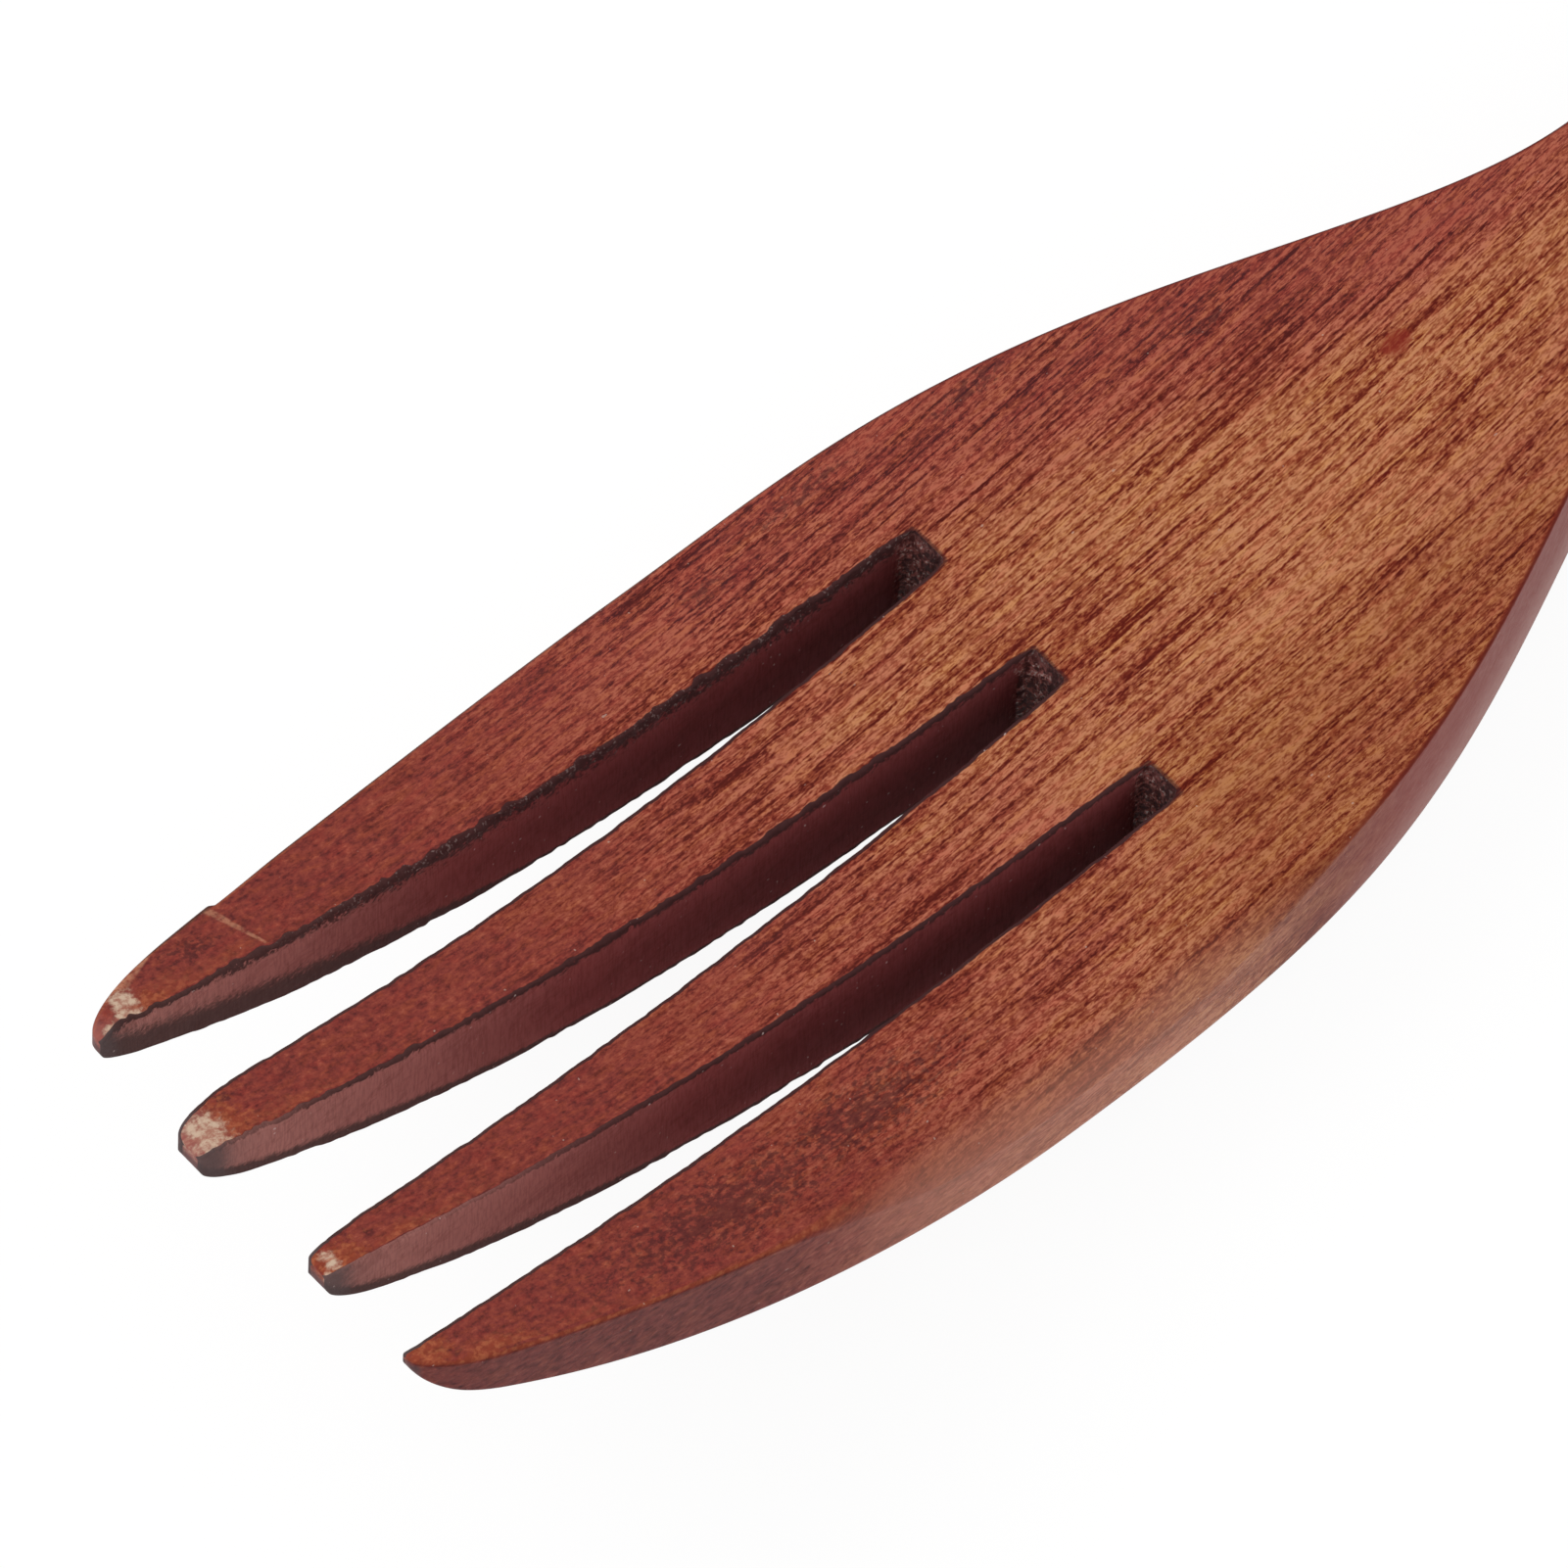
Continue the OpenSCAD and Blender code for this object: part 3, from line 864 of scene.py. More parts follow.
def stained_wood(grain_group):
    """Colour of the stained board, from honey (Red 0) through russet to maroon (Red 1)."""
    n, given, out = new_group(
        "stained wood",
        [("Place", VECTOR, None), ("Red", FLOAT, 0.0), ("Cover", FLOAT, 0.0), ("Streaks", FLOAT, 1.0)],
        [("Colour", COLOUR), ("Tone", FLOAT)])
    grain = n.use(grain_group, **{name: given[name] for name in ("Place", "Cover", "Streaks")})
    honey, russet, maroon = (n.ramp(grain["Tone"], stain) for stain in (HONEY, RUSSET, MAROON))
    colour = n.tint(n.rise(given["Red"], TO_RUSSET), honey, russet)
    colour = n.tint(n.rise(given["Red"], TO_MAROON), colour, maroon)
    hue = n.noise(given["Place"], HUE_PATCHES)
    colour = n.lay(WARMER, n.rise(hue, WARM_PATCHES), colour)
    colour = n.lay(REDDER, n.rise(hue, RED_PATCHES), colour)
    n.tree.links.new(colour, out["Colour"])
    n.tree.links.new(grain["Tone"], out["Tone"])
    return n.tree


# Crushed and torn fibres, with painted glints of light
CLUMPS = Layer((2.6, 3.2, 2.2), 4.0, 0.65, marks=(0.4, 0.64))
FIBRES = Layer((7.0, 8.0, 5.0), 2.0, 0.6)
PAINTED_GLINT_MARKS = (0.31, 0.37)
TORN_DARK = srgb(88, 40, 38)
TORN_LIGHT = srgb(212, 132, 124)
PAINTED_GLINT = Shade(srgb(246, 228, 220), 0.9)


def torn_wood():
    """Crushed and torn fibres: their colour, Clumps from 0, dark, to 1, light, and a few Painted Glints,
    highlights painted into the colour.
    """
    n, given, out = new_group("torn wood", [("Place", VECTOR, None)],
                              [("Colour", COLOUR), ("Clumps", FLOAT), ("Painted Glints", FLOAT)])
    clumps = n.noise(given["Place"], CLUMPS)
    light = n.rise(clumps, CLUMPS.marks)
    painted_glints = n.rise(n.times(n.noise(given["Place"], FIBRES), clumps), PAINTED_GLINT_MARKS)
    n.tree.links.new(n.lay(PAINTED_GLINT, painted_glints, n.tint(light, TORN_DARK, TORN_LIGHT)), out["Colour"])
    n.tree.links.new(light, out["Clumps"])
    n.tree.links.new(painted_glints, out["Painted Glints"])
    return n.tree


SPECKS = Layer((4.0, 4.0, 4.0), 0.0)


def dust():
    """Mask of fine dust. The lower the levels at which specks start and are full, the more there are."""
    n, given, out = new_group(
        "dust",
        [("Place", VECTOR, None), ("Start", FLOAT, None), ("Full", FLOAT, None)],
        [("Specks", FLOAT)])
    specks = n.climb(n.noise(given["Place"], SPECKS), given["Start"], given["Full"])
    n.tree.links.new(specks, out["Specks"])
    return n.tree


GRAIN = wood_grain()
STAINED = stained_wood(GRAIN)
TORN = torn_wood()
DUST = dust()


def lay_dust(n, shade, levels, place, colour):
    start, full = levels
    return n.lay(shade, n.use(DUST, Place=place, Start=start, Full=full)["Specks"], colour)


def new_material(name):
    material = bpy.data.materials.new(name)
    material.use_nodes = True
    return material, Nodes(material.node_tree), material.node_tree.nodes["Principled BSDF"]


def finish_surface(n, shader, colour, roughness, height, distance, strength):
    """Joins what varies over the wood to the shader; the bump's distance is in millimetres."""
    bump = n.add("ShaderNodeBump", {"Height": height, "Distance": distance * MM, "Strength": strength})
    for socket, value in (("Base Color", colour), ("Roughness", roughness), ("Normal", bump["Normal"])):
        n.tree.links.new(value, shader.inputs[socket])


def place_in_mm(n):
    """Object coordinates in millimetres, with x from the tips."""
    at = n.add("ShaderNodeTexCoord", {})["Object"]
    return n.vec("ADD", n.vec("MULTIPLY", at, (1 / MM,) * 3), (FORK_LENGTH / 2, 0.0, 0.0))


# Lacquered wood. The near side is the fork's left, and the far side its right. A run is where a finish
# starts and where it is full: in millimetres along the fork from the tips, across it from its middle, up
# from the table, or from the top face or an edge; or by how far the surface faces sideways, from 0 to 1.
# A band has one run for each of its ends.
DRIFT = Layer((0.08, 0.12, 0.1))
CLOUD = Layer((0.15, 0.6, 0.4), 3.0, 0.6)
SPECK = Layer((1.6, 2.6, 2.6), 4.0, 0.65)
FLECK = Layer((2.0, 3.6, 3.0), 3.0, 0.6)
FAR_HALF = (1.0, 6.0)
BEFORE_HANDLE = (140.0, 112.0)
TOP_DEPTH = (1.5, 0.7)

# Redder stain towards the tips and inward from the edges
RED_RUN = (72.0, 4.0)
RED_DRIFT = 14.0
RED_CLOUD = 0.9
RED_EDGE_RUN = (12.0, 2.0)
RED_EDGE_CLOUD = 7.0
NEAR_EDGE_RED = 0.25
FAR_EDGE_RED = 0.6
# Stain that hides the pores towards the tips and on the smooth sides of the palm and the neck, and weaker
# streaks on the near side
COVER_RUN = (46.0, 10.0)
SMOOTH_SIDE_RUN = (52.0, 64.0)
NEAR_STREAK_RUN = (-4.0, -11.0)
NEAR_STREAK_LOSS = 0.35

# Sides of the palm, the tines and the shoulders
NEAR_RUN = (-4.0, -10.0)
NEAR_PALM_RUN = (46.0, 58.0)
NEAR_PALM = Shade((0.82, 0.76, 0.68, 1.0), blend="MULTIPLY")
FAR_EDGE_RUN = (9.0, 5.0)
BEHIND_SLOTS = (52.0, 60.0)
FAR_PALM = Shade((0.97, 0.95, 0.95, 1.0), blend="MULTIPLY")
TIP_SIDE_RUN = (30.0, 18.0)
TIP_SIDE = Shade((0.66, 0.62, 0.66, 1.0), blend="MULTIPLY")
SHOULDER_RUN = (55.0, 67.0)
SHOULDER = Shade(srgb(148, 50, 38), 0.85)
# Painted reflection of the white floor, paler towards the foot of the shoulders' sides
SHOULDER_REFLECTION_RUN = (7.0, 1.2)
SHOULDER_PAINTED_REFLECTION = Shade(srgb(192, 140, 132), 0.75)
MID_SIDE_BAND = ((22.0, 32.0), (60.0, 47.0))
MID_SIDE_FACING = (0.3, 1.0)
MID_SIDE = Shade(srgb(220, 158, 132), 0.35)

# Dark stains
DARK_SPOTS = Spots((
    (3.2, 5.4, 1.2, 0.5), (2.1, -12.6, 0.5, 0.4), (1.75, -12.05, 0.45, 0.35),
    (8.0, 13.2, 2.4, 1.0), (20.0, -13.0, 12.0, 2.9), (30.0, -12.6, 8.0, 2.6),
    (44.6, 15.0, 2.0, 0.8), (63.0, 14.9, 4.0, 0.9), (74.2, 9.7, 1.8, 0.7), (52.0, 15.9, 5.0, 0.7),
), 3.4, (0.35, 0.85))
DARK_STAIN = Shade(srgb(76, 38, 40), 0.6)

# Lacquer rubbed thin to orange: in spots, along the near edges by the tips, and on the crease, which is the
# rounded edge between the top and the sides
THIN_SPOTS = Spots((
    (3.8, 11.8, 2.4, 0.9), (2.0, 4.1, 2.2, 2.0), (1.2, -5.3, 2.4, 1.5),
    (1.0, -12.1, 1.9, 1.3), (3.6, -13.3, 3.0, 0.6),
), 2.2, (0.1, 0.6))
THIN_FACING = (0.8, 0.3)
THIN_SHARE = 0.7
LIP_RUN = (1.3, 0.1)
LIP_CLOUD = 3.0
LIP_BAND = ((1.0, 4.0), (16.0, 4.0))
LIP_SHARE = 0.55
CREASE_BAND = ((0.05, 0.5), (1.0, 0.7))
CREASE_RUN = (30.0, 22.0)
CREASE_SHARE = 0.6
ORANGE_FLECKS = (-0.08, 0.16)
ORANGE_DARK = srgb(160, 74, 46)
ORANGE_LIGHT = srgb(206, 118, 76)
ORANGE_STRENGTH = 0.8

# Pink tips, the scratch and the wear along the edge, bare wood, and a blot of red lacquer
PINK_RUN = (1.8, 0.0)
PINK_SPECK = 3.0
PINK_SIDE = (0.0, 2.0)
PINK_TIP = Shade(srgb(190, 122, 114), 0.5)
SCRATCH = Stroke((10.45, 14.9), (11.7, 11.8), (0.36, 0.12))
EDGE_WEAR = Stroke((3.2, 13.1), (5.9, 14.05), (0.4, 0.15))
SCRATCH_SPECKS = (-0.16, 0.1)
SCRATCHED = Shade(srgb(212, 150, 118), 0.55)
BARE_SPOTS = Spots((
    (2.4, 11.6, 1.5, 0.8), (2.8, 12.4, 1.2, 1.0), (1.2, 11.35, 0.9, 0.5),
    (0.85, 4.15, 1.8, 2.0),
    (0.76, -4.74, 0.6, 0.45), (0.73, -5.36, 0.65, 0.42), (0.05, -5.75, 0.4, 0.35),
), 1.3, (0.1, 0.75))
BARE_SPECKS = (-0.14, 0.1)
BARE_DARK = srgb(190, 134, 114)
BARE_LIGHT = srgb(230, 202, 176)
BARE_STRENGTH = 0.9
LACQUER_BLOTS = Spots(((80.55, 2.3, 1.2, 0.8),), 0.8, (0.1, 0.4))
RED_LACQUER = Shade(srgb(146, 48, 36), 0.7)

# Dark lines along the sawn edges, wider round the slot ends, along the far edge and along the crease
# at the shoulder, and the blunt ends of the tips
CUT_LINE_WIDTH = 0.05
SLOT_END_WIDTH = 0.22
SLOT_END_RUN = (53.0, 55.5)
CUT_LINE_SPECK = 0.3
CUT_LINE_EDGE = (1.0, 0.3)
CUT_LINE_FROM = (0.3, 0.6)
DARK_CUT_LINE = Shade(srgb(66, 32, 34), 0.75)
FAR_LINE_RUN = (0.22, 0.05)
FAR_LINE_FACING = (1.0, 0.95)
FAR_LINE = Shade(srgb(52, 30, 28), 0.8)
SHOULDER_LINE_BAND = ((0.2, 0.7), (1.0, 0.9))
SHOULDER_LINE_RUN = (56.0, 66.0)
SHOULDER_LINE = Shade(srgb(96, 26, 20), 0.6)
BLUNT_RUN = (0.4, 0.1)
BLUNT_DEPTH = (0.1, 0.9)
BLUNT_TIP = Shade(srgb(98, 66, 68), 0.85)
DUST_ON_LACQUER = Shade(srgb(225, 200, 185), 0.4)
LACQUER_SPECKS = (0.86, 0.9)

# Sheen: light wood is smoother and bare wood rougher; thick lacquer on the sides only, from the shoulders
# to the end of the handle
LACQUER_ROUGHNESS = 0.55
TONE_SMOOTHER = 0.15
BARE_ROUGHER = 0.2
WOOD_SPECULAR = 0.06
GLOSS_RUN = (44.0, 76.0)
GLOSS = 0.08
GLOSS_ROUGHNESS = 0.3
PORE_DEPTH = 0.03
PORE_BUMP = 0.4


class LacqueredPlace:
    """What the lacquered wood's finishes know of a place on it."""

    def __init__(self, n):
        self.place = place_in_mm(n)
        self.x, self.y, self.z = n.add("ShaderNodeSeparateXYZ", {0: self.place})
        self.rim, self.side, self.lip = n.field("rim"), n.field("side"), n.field("lip")
        self.arris, self.depth = n.field("arris"), n.field("depth")
        self.drift, self.cloud = n.centred(self.place, DRIFT), n.centred(self.place, CLOUD)
        self.speck, self.fleck = n.centred(self.place, SPECK), n.centred(self.place, FLECK)
        self.far = n.rise(self.y, FAR_HALF)
        self.before_handle = n.rise(self.x, BEFORE_HANDLE)
        self.on_top = n.rise(self.depth, TOP_DEPTH)


def stain_board(n, at):
    """The stain is redder towards the tips and the edges, most at the far edge, and cloudy along the grain.

    The sides of the palm and the neck are finished smooth; the handle looks the same all round.
    """
    red = n.rise(n.plus(at.x, n.times(at.drift, RED_DRIFT)), RED_RUN)
    inward = n.plus(at.rim, n.times(at.cloud, RED_EDGE_CLOUD))
    edge = n.times(n.plus(NEAR_EDGE_RED, n.times(at.far, FAR_EDGE_RED)), n.rise(inward, RED_EDGE_RUN))
    red = n.calc("ADD", n.most(red, edge), n.times(at.cloud, RED_CLOUD), clamp=True)
    smooth_side = n.times(at.side, n.rise(at.x, SMOOTH_SIDE_RUN), at.before_handle)
    cover = n.most(n.rise(at.x, COVER_RUN), smooth_side)
    streaks = n.minus(1.0, n.rise(at.y, NEAR_STREAK_RUN, NEAR_STREAK_LOSS))
    return n.use(STAINED, Place=at.place, Red=red, Cover=cover, Streaks=streaks)


def shade_sides(n, at, colour):
    """Shades of the palm and of the sides.

    The near half and the far edge of the palm and the sides of the tips are darker, the shoulders' sides red
    with a pale painted reflection of the floor towards their foot, and the sides between them paler.
    """
    near = n.times(n.rise(at.y, NEAR_RUN), n.rise(at.x, NEAR_PALM_RUN))
    colour = n.lay(NEAR_PALM, near, colour)
    far_edge = n.times(at.far, n.rise(at.rim, FAR_EDGE_RUN), n.rise(at.x, BEHIND_SLOTS))
    colour = n.lay(FAR_PALM, far_edge, colour)
    colour = n.lay(TIP_SIDE, n.times(at.side, n.rise(at.x, TIP_SIDE_RUN)), colour)
    shoulder = n.times(at.side, n.rise(at.x, SHOULDER_RUN), at.before_handle)
    colour = n.lay(SHOULDER, shoulder, colour)
    # Painted reflection of the floor on the lower part of the shoulders' sides
    colour = n.lay(SHOULDER_PAINTED_REFLECTION, n.times(shoulder, n.rise(at.z, SHOULDER_REFLECTION_RUN)), colour)
    mid_side = n.times(n.band(at.x, MID_SIDE_BAND), n.rise(at.side, MID_SIDE_FACING))
    return n.lay(MID_SIDE, mid_side, colour)


def rub_thin(n, at, colour):
    """Lacquer rubbed thin to orange in spots at the tips, along the near edges and on the crease."""
    thin = n.times(n.spots(THIN_SPOTS, at.place, at.speck), at.on_top, n.rise(at.side, THIN_FACING))
    lip = n.rise(n.minus(at.lip, n.times(at.cloud, LIP_CLOUD)), LIP_RUN)
    lip = n.times(lip, n.band(at.x, LIP_BAND))
    crease = n.times(n.band(at.side, CREASE_BAND), n.rise(at.x, CREASE_RUN))
    rubbed = n.most(n.times(lip, LIP_SHARE), n.times(thin, THIN_SHARE), n.times(crease, CREASE_SHARE))
    orange = n.tint(n.rise(at.fleck, ORANGE_FLECKS), ORANGE_DARK, ORANGE_LIGHT)
    return n.tint(n.times(rubbed, ORANGE_STRENGTH), colour, orange)


def wear_tips(n, at, colour):
    """Pink tips, scratches and bare wood. Returns the colour, and where the wood is bare."""
    pink = n.rise(n.plus(at.x, n.times(at.speck, PINK_SPECK)), PINK_RUN)
    colour = n.lay(PINK_TIP, n.times(pink, n.rise(at.y, PINK_SIDE)), colour)
    scratch = n.most(n.stroke(SCRATCH, at.place), n.stroke(EDGE_WEAR, at.place))
    colour = n.lay(SCRATCHED, n.times(scratch, at.on_top, n.rise(at.speck, SCRATCH_SPECKS)), colour)
    bare = n.times(n.spots(BARE_SPOTS, at.place, at.speck), at.on_top)
    bare_wood = n.tint(n.rise(at.speck, BARE_SPECKS), BARE_DARK, BARE_LIGHT)
    return n.tint(n.times(bare, BARE_STRENGTH), colour, bare_wood), bare


def draw_dark_lines(n, at, colour):
    """Dark lines along the sawn edges, the far edge and the shoulder's crease, and dark blunt tips."""
    from_cut = n.minus(n.calc("ABSOLUTE", at.arris), n.times(at.speck, CUT_LINE_SPECK))
    width = n.plus(CUT_LINE_WIDTH, n.rise(at.x, SLOT_END_RUN, SLOT_END_WIDTH))
    cut_line = n.times(n.rise(n.per(from_cut, width), CUT_LINE_EDGE), n.rise(at.x, CUT_LINE_FROM))
    colour = n.lay(DARK_CUT_LINE, cut_line, colour)
    far_line = n.times(n.rise(at.rim, FAR_LINE_RUN), at.far, n.rise(at.side, FAR_LINE_FACING))
    colour = n.lay(FAR_LINE, far_line, colour)
    shoulder = n.times(n.rise(at.x, SHOULDER_LINE_RUN), at.before_handle)
    colour = n.lay(SHOULDER_LINE, n.times(n.band(at.side, SHOULDER_LINE_BAND), shoulder), colour)
    return n.lay(BLUNT_TIP, n.times(n.rise(at.x, BLUNT_RUN), n.rise(at.depth, BLUNT_DEPTH)), colour)


def lacquered_wood():
    material, n, shader = new_material("lacquered_wood")
    at = LacqueredPlace(n)
    wood = stain_board(n, at)
    colour = shade_sides(n, at, wood["Colour"])
    colour = n.lay(DARK_STAIN, n.spots(DARK_SPOTS, at.place, at.fleck), colour)
    colour = rub_thin(n, at, colour)
    colour, bare = wear_tips(n, at, colour)
    colour = n.lay(RED_LACQUER, n.spots(LACQUER_BLOTS, at.place, at.speck), colour)
    colour = draw_dark_lines(n, at, colour)
    colour = lay_dust(n, DUST_ON_LACQUER, LACQUER_SPECKS, at.place, colour)
    roughness = n.plus(n.minus(LACQUER_ROUGHNESS, n.times(wood["Tone"], TONE_SMOOTHER)),
                       n.times(bare, BARE_ROUGHER))
    finish_surface(n, shader, colour, roughness, wood["Tone"], PORE_DEPTH, PORE_BUMP)
    gloss = n.times(at.side, n.rise(at.x, GLOSS_RUN, GLOSS))
    n.tree.links.new(gloss, shader.inputs["Coat Weight"])
    shader.inputs["Coat Roughness"].default_value = GLOSS_ROUGHNESS
    shader.inputs["Specular IOR Level"].default_value = WOOD_SPECULAR
    return material


# Sawn wood: the stain on the slot walls, as shares of the way from the tips to the slot ends, and the
# marks across it
SAWN_STAIN = ((0.0, srgb(160, 112, 106)), (0.07, srgb(188, 126, 118)), (0.24, srgb(184, 116, 110)),
              (0.44, srgb(160, 80, 79)), (0.6, srgb(150, 73, 74)), (0.85, srgb(148, 72, 73)),
              (1.0, srgb(150, 78, 78)))
SAW_MARKS = Layer((8.0, 1.0, 0.7), 2.0, 0.6, marks=(0.42, 0.64))
SAW_MARK = Shade((0.5, 0.45, 0.45, 1.0), 0.35, "MULTIPLY")
CUT_PORES = (0.6, 0.2)
CUT_PORE = Shade((0.5, 0.35, 0.35, 1.0), 0.3, "MULTIPLY")
RAGGED = Layer((3.0, 3.0, 4.0), 4.0, 0.7)
# The dark broken band under the top edge, and painted glints where it is tall
BURR_RAG = 3.6
BURR_LEVEL = -0.95
BURR_LEAST = 0.02
BURR_EDGE = (1.2, 0.6)
BURR_FROM = (0.0, 0.3)
BROKEN_EDGE = Shade(srgb(62, 42, 42), 0.88)
TALL_BURR = (0.5, 1.4)
PAINTED_BURR_GLINTS = Shade(srgb(205, 182, 176), 0.25)
# Torn wood at the slot ends, with its painted glints
TORN_RAG = 1.6
TORN_RUN = (54.2, 55.6)
TORN_DEPTH = (0.1, 0.7)
# Painted shade along the foot of the slot walls, and the blunt tips
FOOT_SHADE_RAG = 1.4
FOOT_SHADE_LEVEL = 0.25
FOOT_SHADE_EDGE = (1.15, 0.6)
PAINTED_FOOT_SHADE = Shade(srgb(66, 50, 49), 0.85)
BLUNT_WALL_RAG = 2.0
BLUNT_WALL_RUN = (1.0, -0.6)
BLUNT_WALL = Shade(srgb(100, 84, 84), 0.8)
DUST_ON_SAWN = Shade(srgb(225, 200, 195), 0.7)
SAWN_SPECKS = (0.83, 0.88)
SAWN_ROUGHNESS = 0.65
SAW_MARK_ROUGHER = 0.2
SAWN_DEPTH = 0.05
SAWN_BUMP = 0.5


def sawn_wood():
    material, n, shader = new_material("sawn_wood")
    place = place_in_mm(n)
    x = n.add("ShaderNodeSeparateXYZ", {0: place})["X"]
    arris, burr = n.field("arris"), n.field("burr")
    grain, torn = n.use(GRAIN, Place=place), n.use(TORN, Place=place)
    hatch, ragged = n.noise(place, SAW_MARKS), n.noise(place, RAGGED)
    colour = n.ramp(n.per(x, TINE_LENGTH), SAWN_STAIN)
    colour = n.lay(SAW_MARK, n.rise(hatch, SAW_MARKS.marks), colour)
    colour = n.lay(CUT_PORE, n.rise(grain["Tone"], CUT_PORES), colour)
    band = n.times(burr, n.plus(n.times(ragged, BURR_RAG), BURR_LEVEL))
    broken = n.rise(n.per(arris, n.most(band, BURR_LEAST)), BURR_EDGE)
    broken = n.times(broken, n.rise(burr, BURR_FROM))
    colour = n.lay(BROKEN_EDGE, broken, colour)
    at_end = n.rise(n.plus(x, n.times(ragged, TORN_RAG)), TORN_RUN)
    colour = n.tint(n.times(at_end, n.rise(arris, TORN_DEPTH)), colour, torn["Colour"])
    # Painted glints on the broken band
    burr_glints = n.times(torn["Painted Glints"], broken, n.rise(burr, TALL_BURR))
    colour = n.lay(PAINTED_BURR_GLINTS, burr_glints, colour)
    # Painted shade along the foot of the slot walls
    scorch = n.times(n.field("scorch"), n.plus(n.times(ragged, FOOT_SHADE_RAG), FOOT_SHADE_LEVEL))
    colour = n.lay(PAINTED_FOOT_SHADE, n.rise(n.per(n.field("foot"), scorch), FOOT_SHADE_EDGE), colour)
    blunt = n.rise(n.minus(x, n.times(ragged, BLUNT_WALL_RAG)), BLUNT_WALL_RUN)
    colour = n.lay(BLUNT_WALL, blunt, colour)
    colour = lay_dust(n, DUST_ON_SAWN, SAWN_SPECKS, place, colour)
    roughness = n.plus(n.times(hatch, SAW_MARK_ROUGHER), SAWN_ROUGHNESS)
    relief = n.plus(hatch, ragged, grain["Tone"])
    finish_surface(n, shader, colour, roughness, relief, SAWN_DEPTH, SAWN_BUMP)
    shader.inputs["Specular IOR Level"].default_value = WOOD_SPECULAR
    return material


# End grain with the torn wood's painted glints, and painted shade under the top edge and away from the
# right wall of the slot, between tufts
TOP_SHADE_TUFTS = 0.6
TOP_SHADE_RUN = (0.4, -0.3)
LEFT_SHADE_TUFTS = 0.5
LEFT_SHADE_RUN = (0.4, 1.4)
SLOT_END_PAINTED_SHADE = Shade(srgb(60, 34, 36), 0.75)
TORN_ROUGHNESS = 0.7
GLINT_SMOOTHER = 0.3
TORN_SPECULAR = 0.3
TUFT_DEPTH = 0.15
TUFT_BUMP = 0.8


def end_grain():
    material, n, shader = new_material("end_grain")
    torn = n.use(TORN, Place=place_in_mm(n))
    clumps = torn["Clumps"]
    # Painted shade in the recess of the slot end
    under_top = n.rise(n.minus(n.field("arris"), n.times(clumps, TOP_SHADE_TUFTS)), TOP_SHADE_RUN)
    to_left = n.rise(n.minus(n.field("apart"), n.times(clumps, LEFT_SHADE_TUFTS)), LEFT_SHADE_RUN)
    colour = n.lay(SLOT_END_PAINTED_SHADE, n.most(under_top, to_left), torn["Colour"])
    roughness = n.minus(TORN_ROUGHNESS, n.times(torn["Painted Glints"], GLINT_SMOOTHER))
    finish_surface(n, shader, colour, roughness, clumps, TUFT_DEPTH, TUFT_BUMP)
    shader.inputs["Specular IOR Level"].default_value = TORN_SPECULAR
    return material


LACQUERED = lacquered_wood()
SAWN = sawn_wood()
END_GRAIN = end_grain()


# Pieces

def even_columns(count):
    shares = np.linspace(0.0, 1.0, count + 2)[1:-1]
    return shares, shares


def make_tine(tine):
    sawn = {}
    if tine < TINE_COUNT - 1:
        sawn["left"] = tine
    if tine > 0:
        sawn["right"] = tine
    end = np.array(0.0)
    round_over = min(TIP_ROUND, TIP_ROUND_SHARE * float(tine_right(tine, end) - tine_left(tine, end)))
    blunt = round_over * (1 - np.cos(np.linspace(0.0, math.pi / 2, TIP_SECTIONS)))
    rest = np.linspace(round_over, TINE_LENGTH, int(TINE_LENGTH / TINE_STEP))[1:]

    def section(x):
        inset = round_over * round_drop(x, round_over)
        return sections(x, tine_left(tine, x), tine_right(tine, x), sawn, even_columns(TINE_COLUMNS), inset,
                        TIP_REACH[tine], TIP_WORN[tine])
    return loft(f"tine_{tine + 1}_wood", np.concatenate((blunt, rest)), section, [LACQUERED, SAWN],
                sawn_sides=list(sawn), ghosts=(False, True))


def whole_width(columns):
    """Section of the whole fork from side to side."""
    def section(x):
        return sections(x, -half_width(x), half_width(x), {}, columns)
    return section


def palm_columns():
    """Shares of the palm's width, with a pair at each slot wall, where the fillets end.

    Columns of the back lie under those of the top, but for the outermost, which the round edges move in.
    """
    root = np.array(TINE_LENGTH)
    right = half_width(root) - outer_top_edge(root, "right")
    left = outer_top_edge(root, "left") - half_width(root)
    walls = [float((right - slot_wall(slot, TINE_LENGTH, side)) / (right - left))
             for slot in range(SLOT_COUNT) for side in (-1, 1)]
    slots = list(zip(walls[1::2], walls[::2]))
    lips = [wall + side * LIP_GAP_SHARE for wall, side in zip(walls, (1, -1) * SLOT_COUNT)]
    inside = [share for a, b in slots for share in np.linspace(a, b, SLOT_END_COLUMNS + 2)[1:-1]]
    even = [share for share in np.linspace(0.0, 1.0, PALM_COLUMNS)[1:-1]
            if not any(a - CLEAR_SHARE < share < b + CLEAR_SHARE for a, b in slots)]
    across = np.array(sorted(even + walls + lips + inside))
    y = mix(right, left, across)
    reach = half_width(root) - outer_low_edge(root)
    moved_in = SLOT_SPAN + (np.abs(y) - SLOT_SPAN) * (reach - SLOT_SPAN) / (half_width(root) - SLOT_SPAN)
    y = np.where(np.abs(y) < SLOT_SPAN, y, np.sign(y) * moved_in)
    return across, ((y + reach) / (2 * reach))[::-1]


def make_palm():
    stations = np.linspace(TINE_LENGTH, NECK_START, PALM_SECTIONS)
    return loft("palm_wood", stations, whole_width(palm_columns()), [LACQUERED, END_GRAIN],
                front=torn_front)


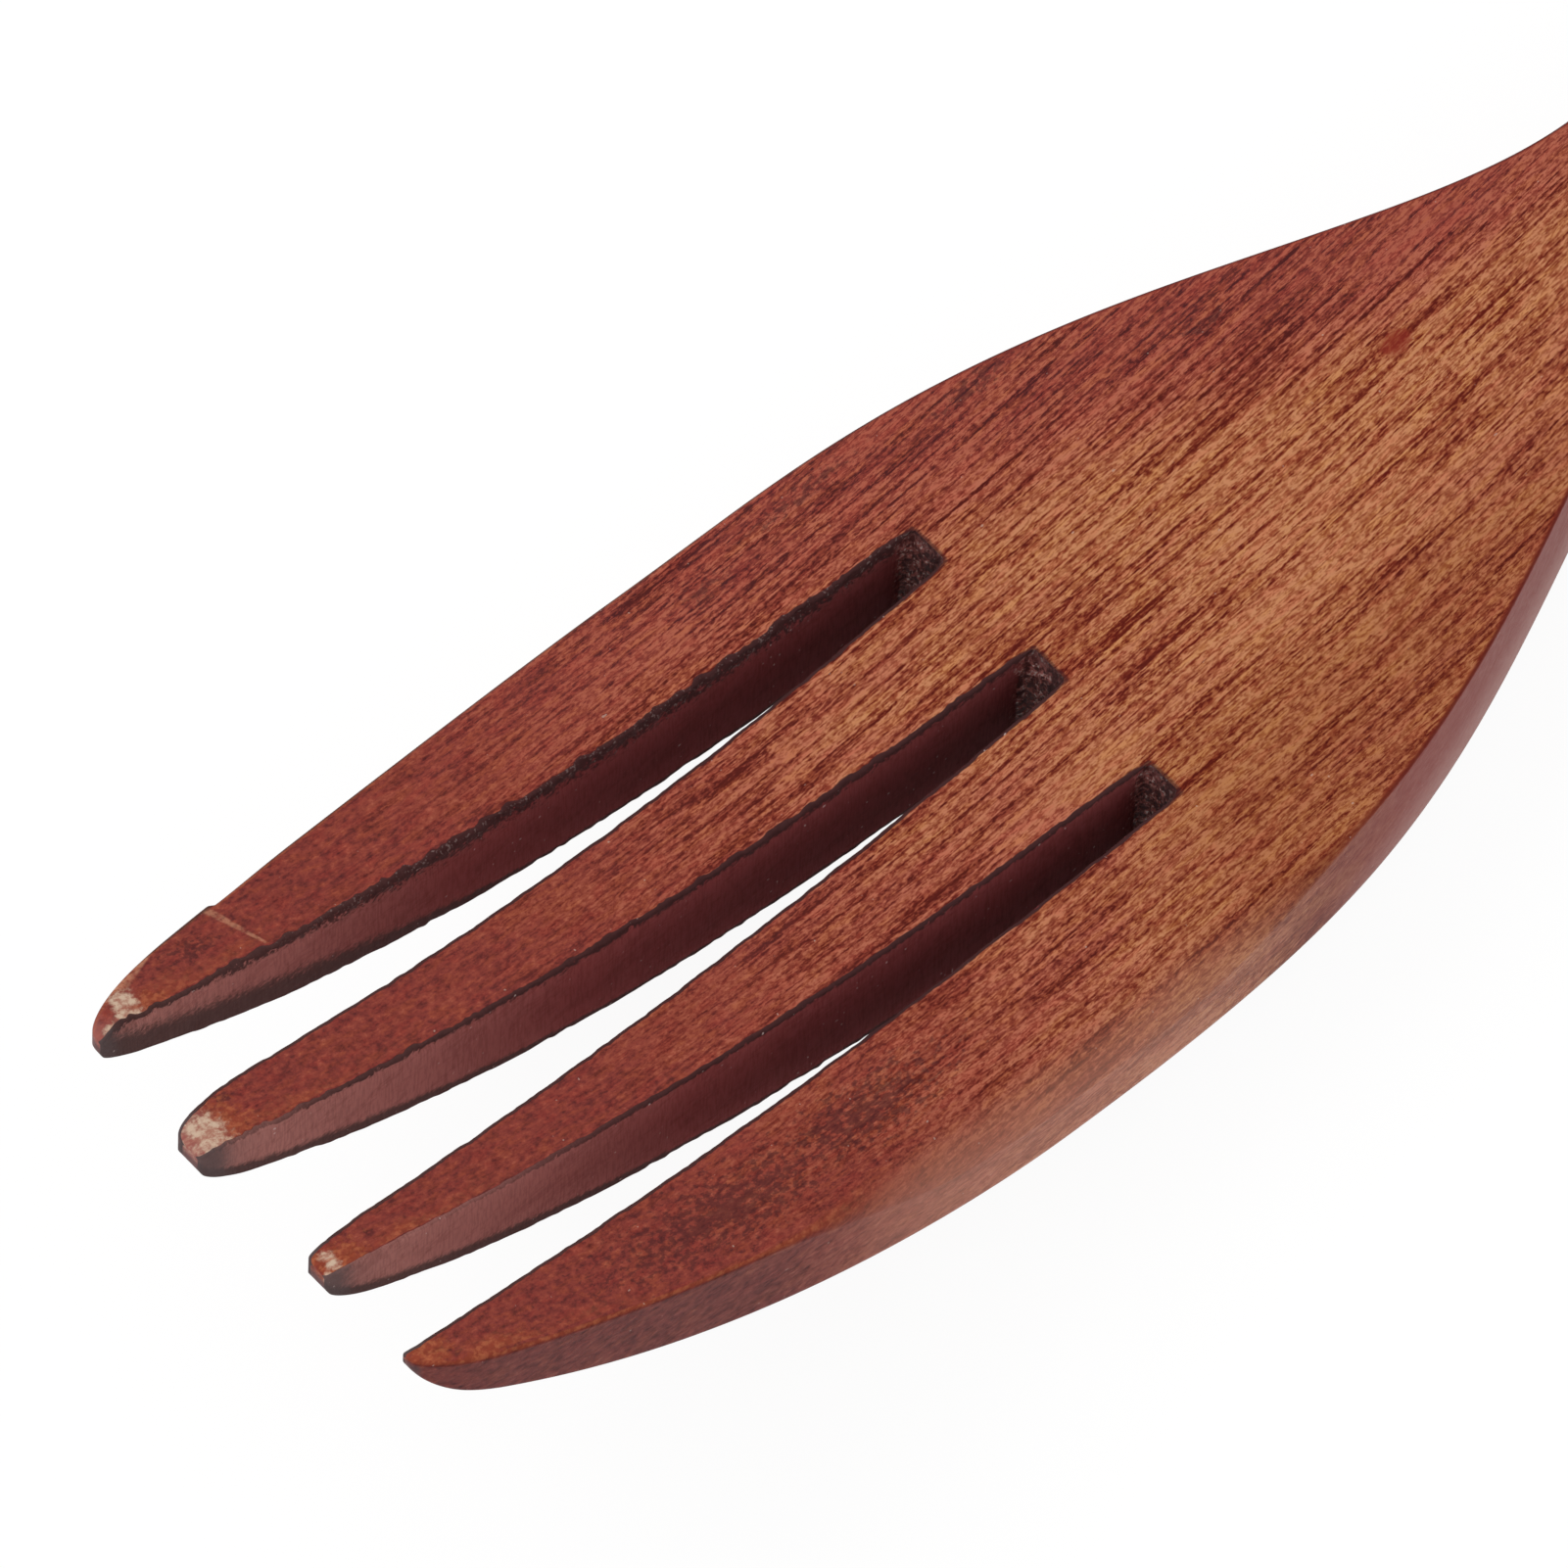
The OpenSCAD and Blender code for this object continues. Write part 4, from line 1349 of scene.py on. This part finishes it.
def make_neck():
    stations = np.linspace(NECK_START, HANDLE_START, NECK_SECTIONS)
    return loft("neck_wood", stations, whole_width(even_columns(NECK_COLUMNS)), [LACQUERED])


def make_handle():
    end_at = FORK_LENGTH - HANDLE_END_LENGTH
    turn = np.linspace(0.0, math.pi / 2, HANDLE_END_SECTIONS)[1:]
    stations = np.concatenate((np.linspace(HANDLE_START, end_at, HANDLE_SECTIONS),
                               end_at + HANDLE_END_LENGTH * np.sin(turn)))

    def section(x):
        inset = HANDLE_END_ROUND * round_drop(FORK_LENGTH - x, HANDLE_END_ROUND)
        return sections(x, -half_width(x), half_width(x), {}, even_columns(HANDLE_COLUMNS), inset)
    return loft("handle_wood", stations, section, [LACQUERED], ghosts=(True, False))


def carved_pieces():
    made = {f"tine_{tine + 1}": make_tine(tine) for tine in range(TINE_COUNT)}
    return {**made, "palm": make_palm(), "neck": make_neck(), "handle": make_handle()}


for node, piece in carved_pieces().items():
    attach(piece, "root")
    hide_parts(node)


# Studio

# Places and sizes are in metres, and the lens and the sensor in millimetres. The camera was fitted to the
# fork's edges in the photograph.
CAMERA_AIM = Vector((-0.055099, 0.006456, 0.005617))
CAMERA_DISTANCE = 1.20009
CAMERA_AZIMUTH = math.radians(-136.092)
CAMERA_ELEVATION = math.radians(64.517)
CAMERA_ROLL = math.radians(3.919)
CAMERA_LENS = 545.4
CAMERA_SENSOR = 36.0
FLOOR_HALF = 1.5
PAPER = (0.8, 0.8, 0.8, 1.0)
SHADOW_PAPER = (0.1, 0.1, 0.1, 1.0)
WHITE = (1.0, 1.0, 1.0, 1.0)
PAPER_GLOW = 0.93
LIGHT_AIM = Vector((-0.05, 0.0, 0.0))
LIGHT_PLACE = Vector((-0.5, 0.75, 1.1))
LIGHT_SIZE = 0.8
LIGHT_POWER = 4.5
WORLD_LEVEL = 0.65


def place_camera():
    level = math.cos(CAMERA_ELEVATION)
    back = Vector((level * math.cos(CAMERA_AZIMUTH), level * math.sin(CAMERA_AZIMUTH),
                   math.sin(CAMERA_ELEVATION)))
    right = Vector((0, 0, 1)).cross(back).normalized()
    up = back.cross(right)
    rolled_right = right * math.cos(CAMERA_ROLL) + up * math.sin(CAMERA_ROLL)
    rolled_up = back.cross(rolled_right)
    data = bpy.data.cameras.new("camera")
    data.sensor_width = CAMERA_SENSOR
    data.lens = CAMERA_LENS
    camera = bpy.data.objects.new("camera", data)
    turn = Matrix((rolled_right, rolled_up, back)).transposed().to_4x4()
    camera.matrix_world = Matrix.Translation(CAMERA_AIM + back * CAMERA_DISTANCE) @ turn
    bpy.context.scene.collection.objects.link(camera)
    bpy.context.scene.camera = camera


def white_paper():
    """Paper that the camera sees as white with faint shadows, and that lights the wood as plain paper."""
    material = bpy.data.materials.new("white_paper")
    material.use_nodes = True
    n = Nodes(material.node_tree)
    n.tree.nodes.clear()
    paper = n.add("ShaderNodeBsdfDiffuse", {"Color": PAPER})[0]
    shadows = n.add("ShaderNodeBsdfDiffuse", {"Color": SHADOW_PAPER})[0]
    glow = n.add("ShaderNodeEmission", {"Color": WHITE, "Strength": PAPER_GLOW})[0]
    shown = n.add("ShaderNodeAddShader", {0: shadows, 1: glow})[0]
    ray = n.add("ShaderNodeLightPath", {})
    seen = n.most(ray["Is Camera Ray"], ray["Is Glossy Ray"], ray["Is Transmission Ray"])
    surface = n.add("ShaderNodeMixShader", {0: seen, 1: paper, 2: shown})[0]
    n.add("ShaderNodeOutputMaterial", {"Surface": surface})
    return material


def lay_floor():
    corners = [(x * FLOOR_HALF, y * FLOOR_HALF, 0.0) for x, y in ((-1, -1), (1, -1), (1, 1), (-1, 1))]
    mesh = bpy.data.meshes.new("floor")
    mesh.from_pydata(corners, [], [(0, 1, 2, 3)])
    mesh.materials.append(white_paper())
    floor = bpy.data.objects.new("floor", mesh)
    bpy.context.scene.collection.objects.link(floor)


def hang_soft_light():
    data = bpy.data.lights.new("key", "AREA")
    data.shape = "SQUARE"
    data.size = LIGHT_SIZE
    data.energy = LIGHT_POWER
    lamp = bpy.data.objects.new("key", data)
    lamp.location = LIGHT_PLACE
    lamp.rotation_euler = (LIGHT_AIM - LIGHT_PLACE).to_track_quat("-Z", "Y").to_euler()
    bpy.context.scene.collection.objects.link(lamp)


def light_room():
    world = bpy.data.worlds.new("studio")
    world.use_nodes = True
    background = world.node_tree.nodes["Background"].inputs
    background["Color"].default_value = WHITE
    background["Strength"].default_value = WORLD_LEVEL
    bpy.context.scene.world = world


place_camera()
lay_floor()
hang_soft_light()
light_room()
bpy.context.scene.view_settings.view_transform = "Standard"
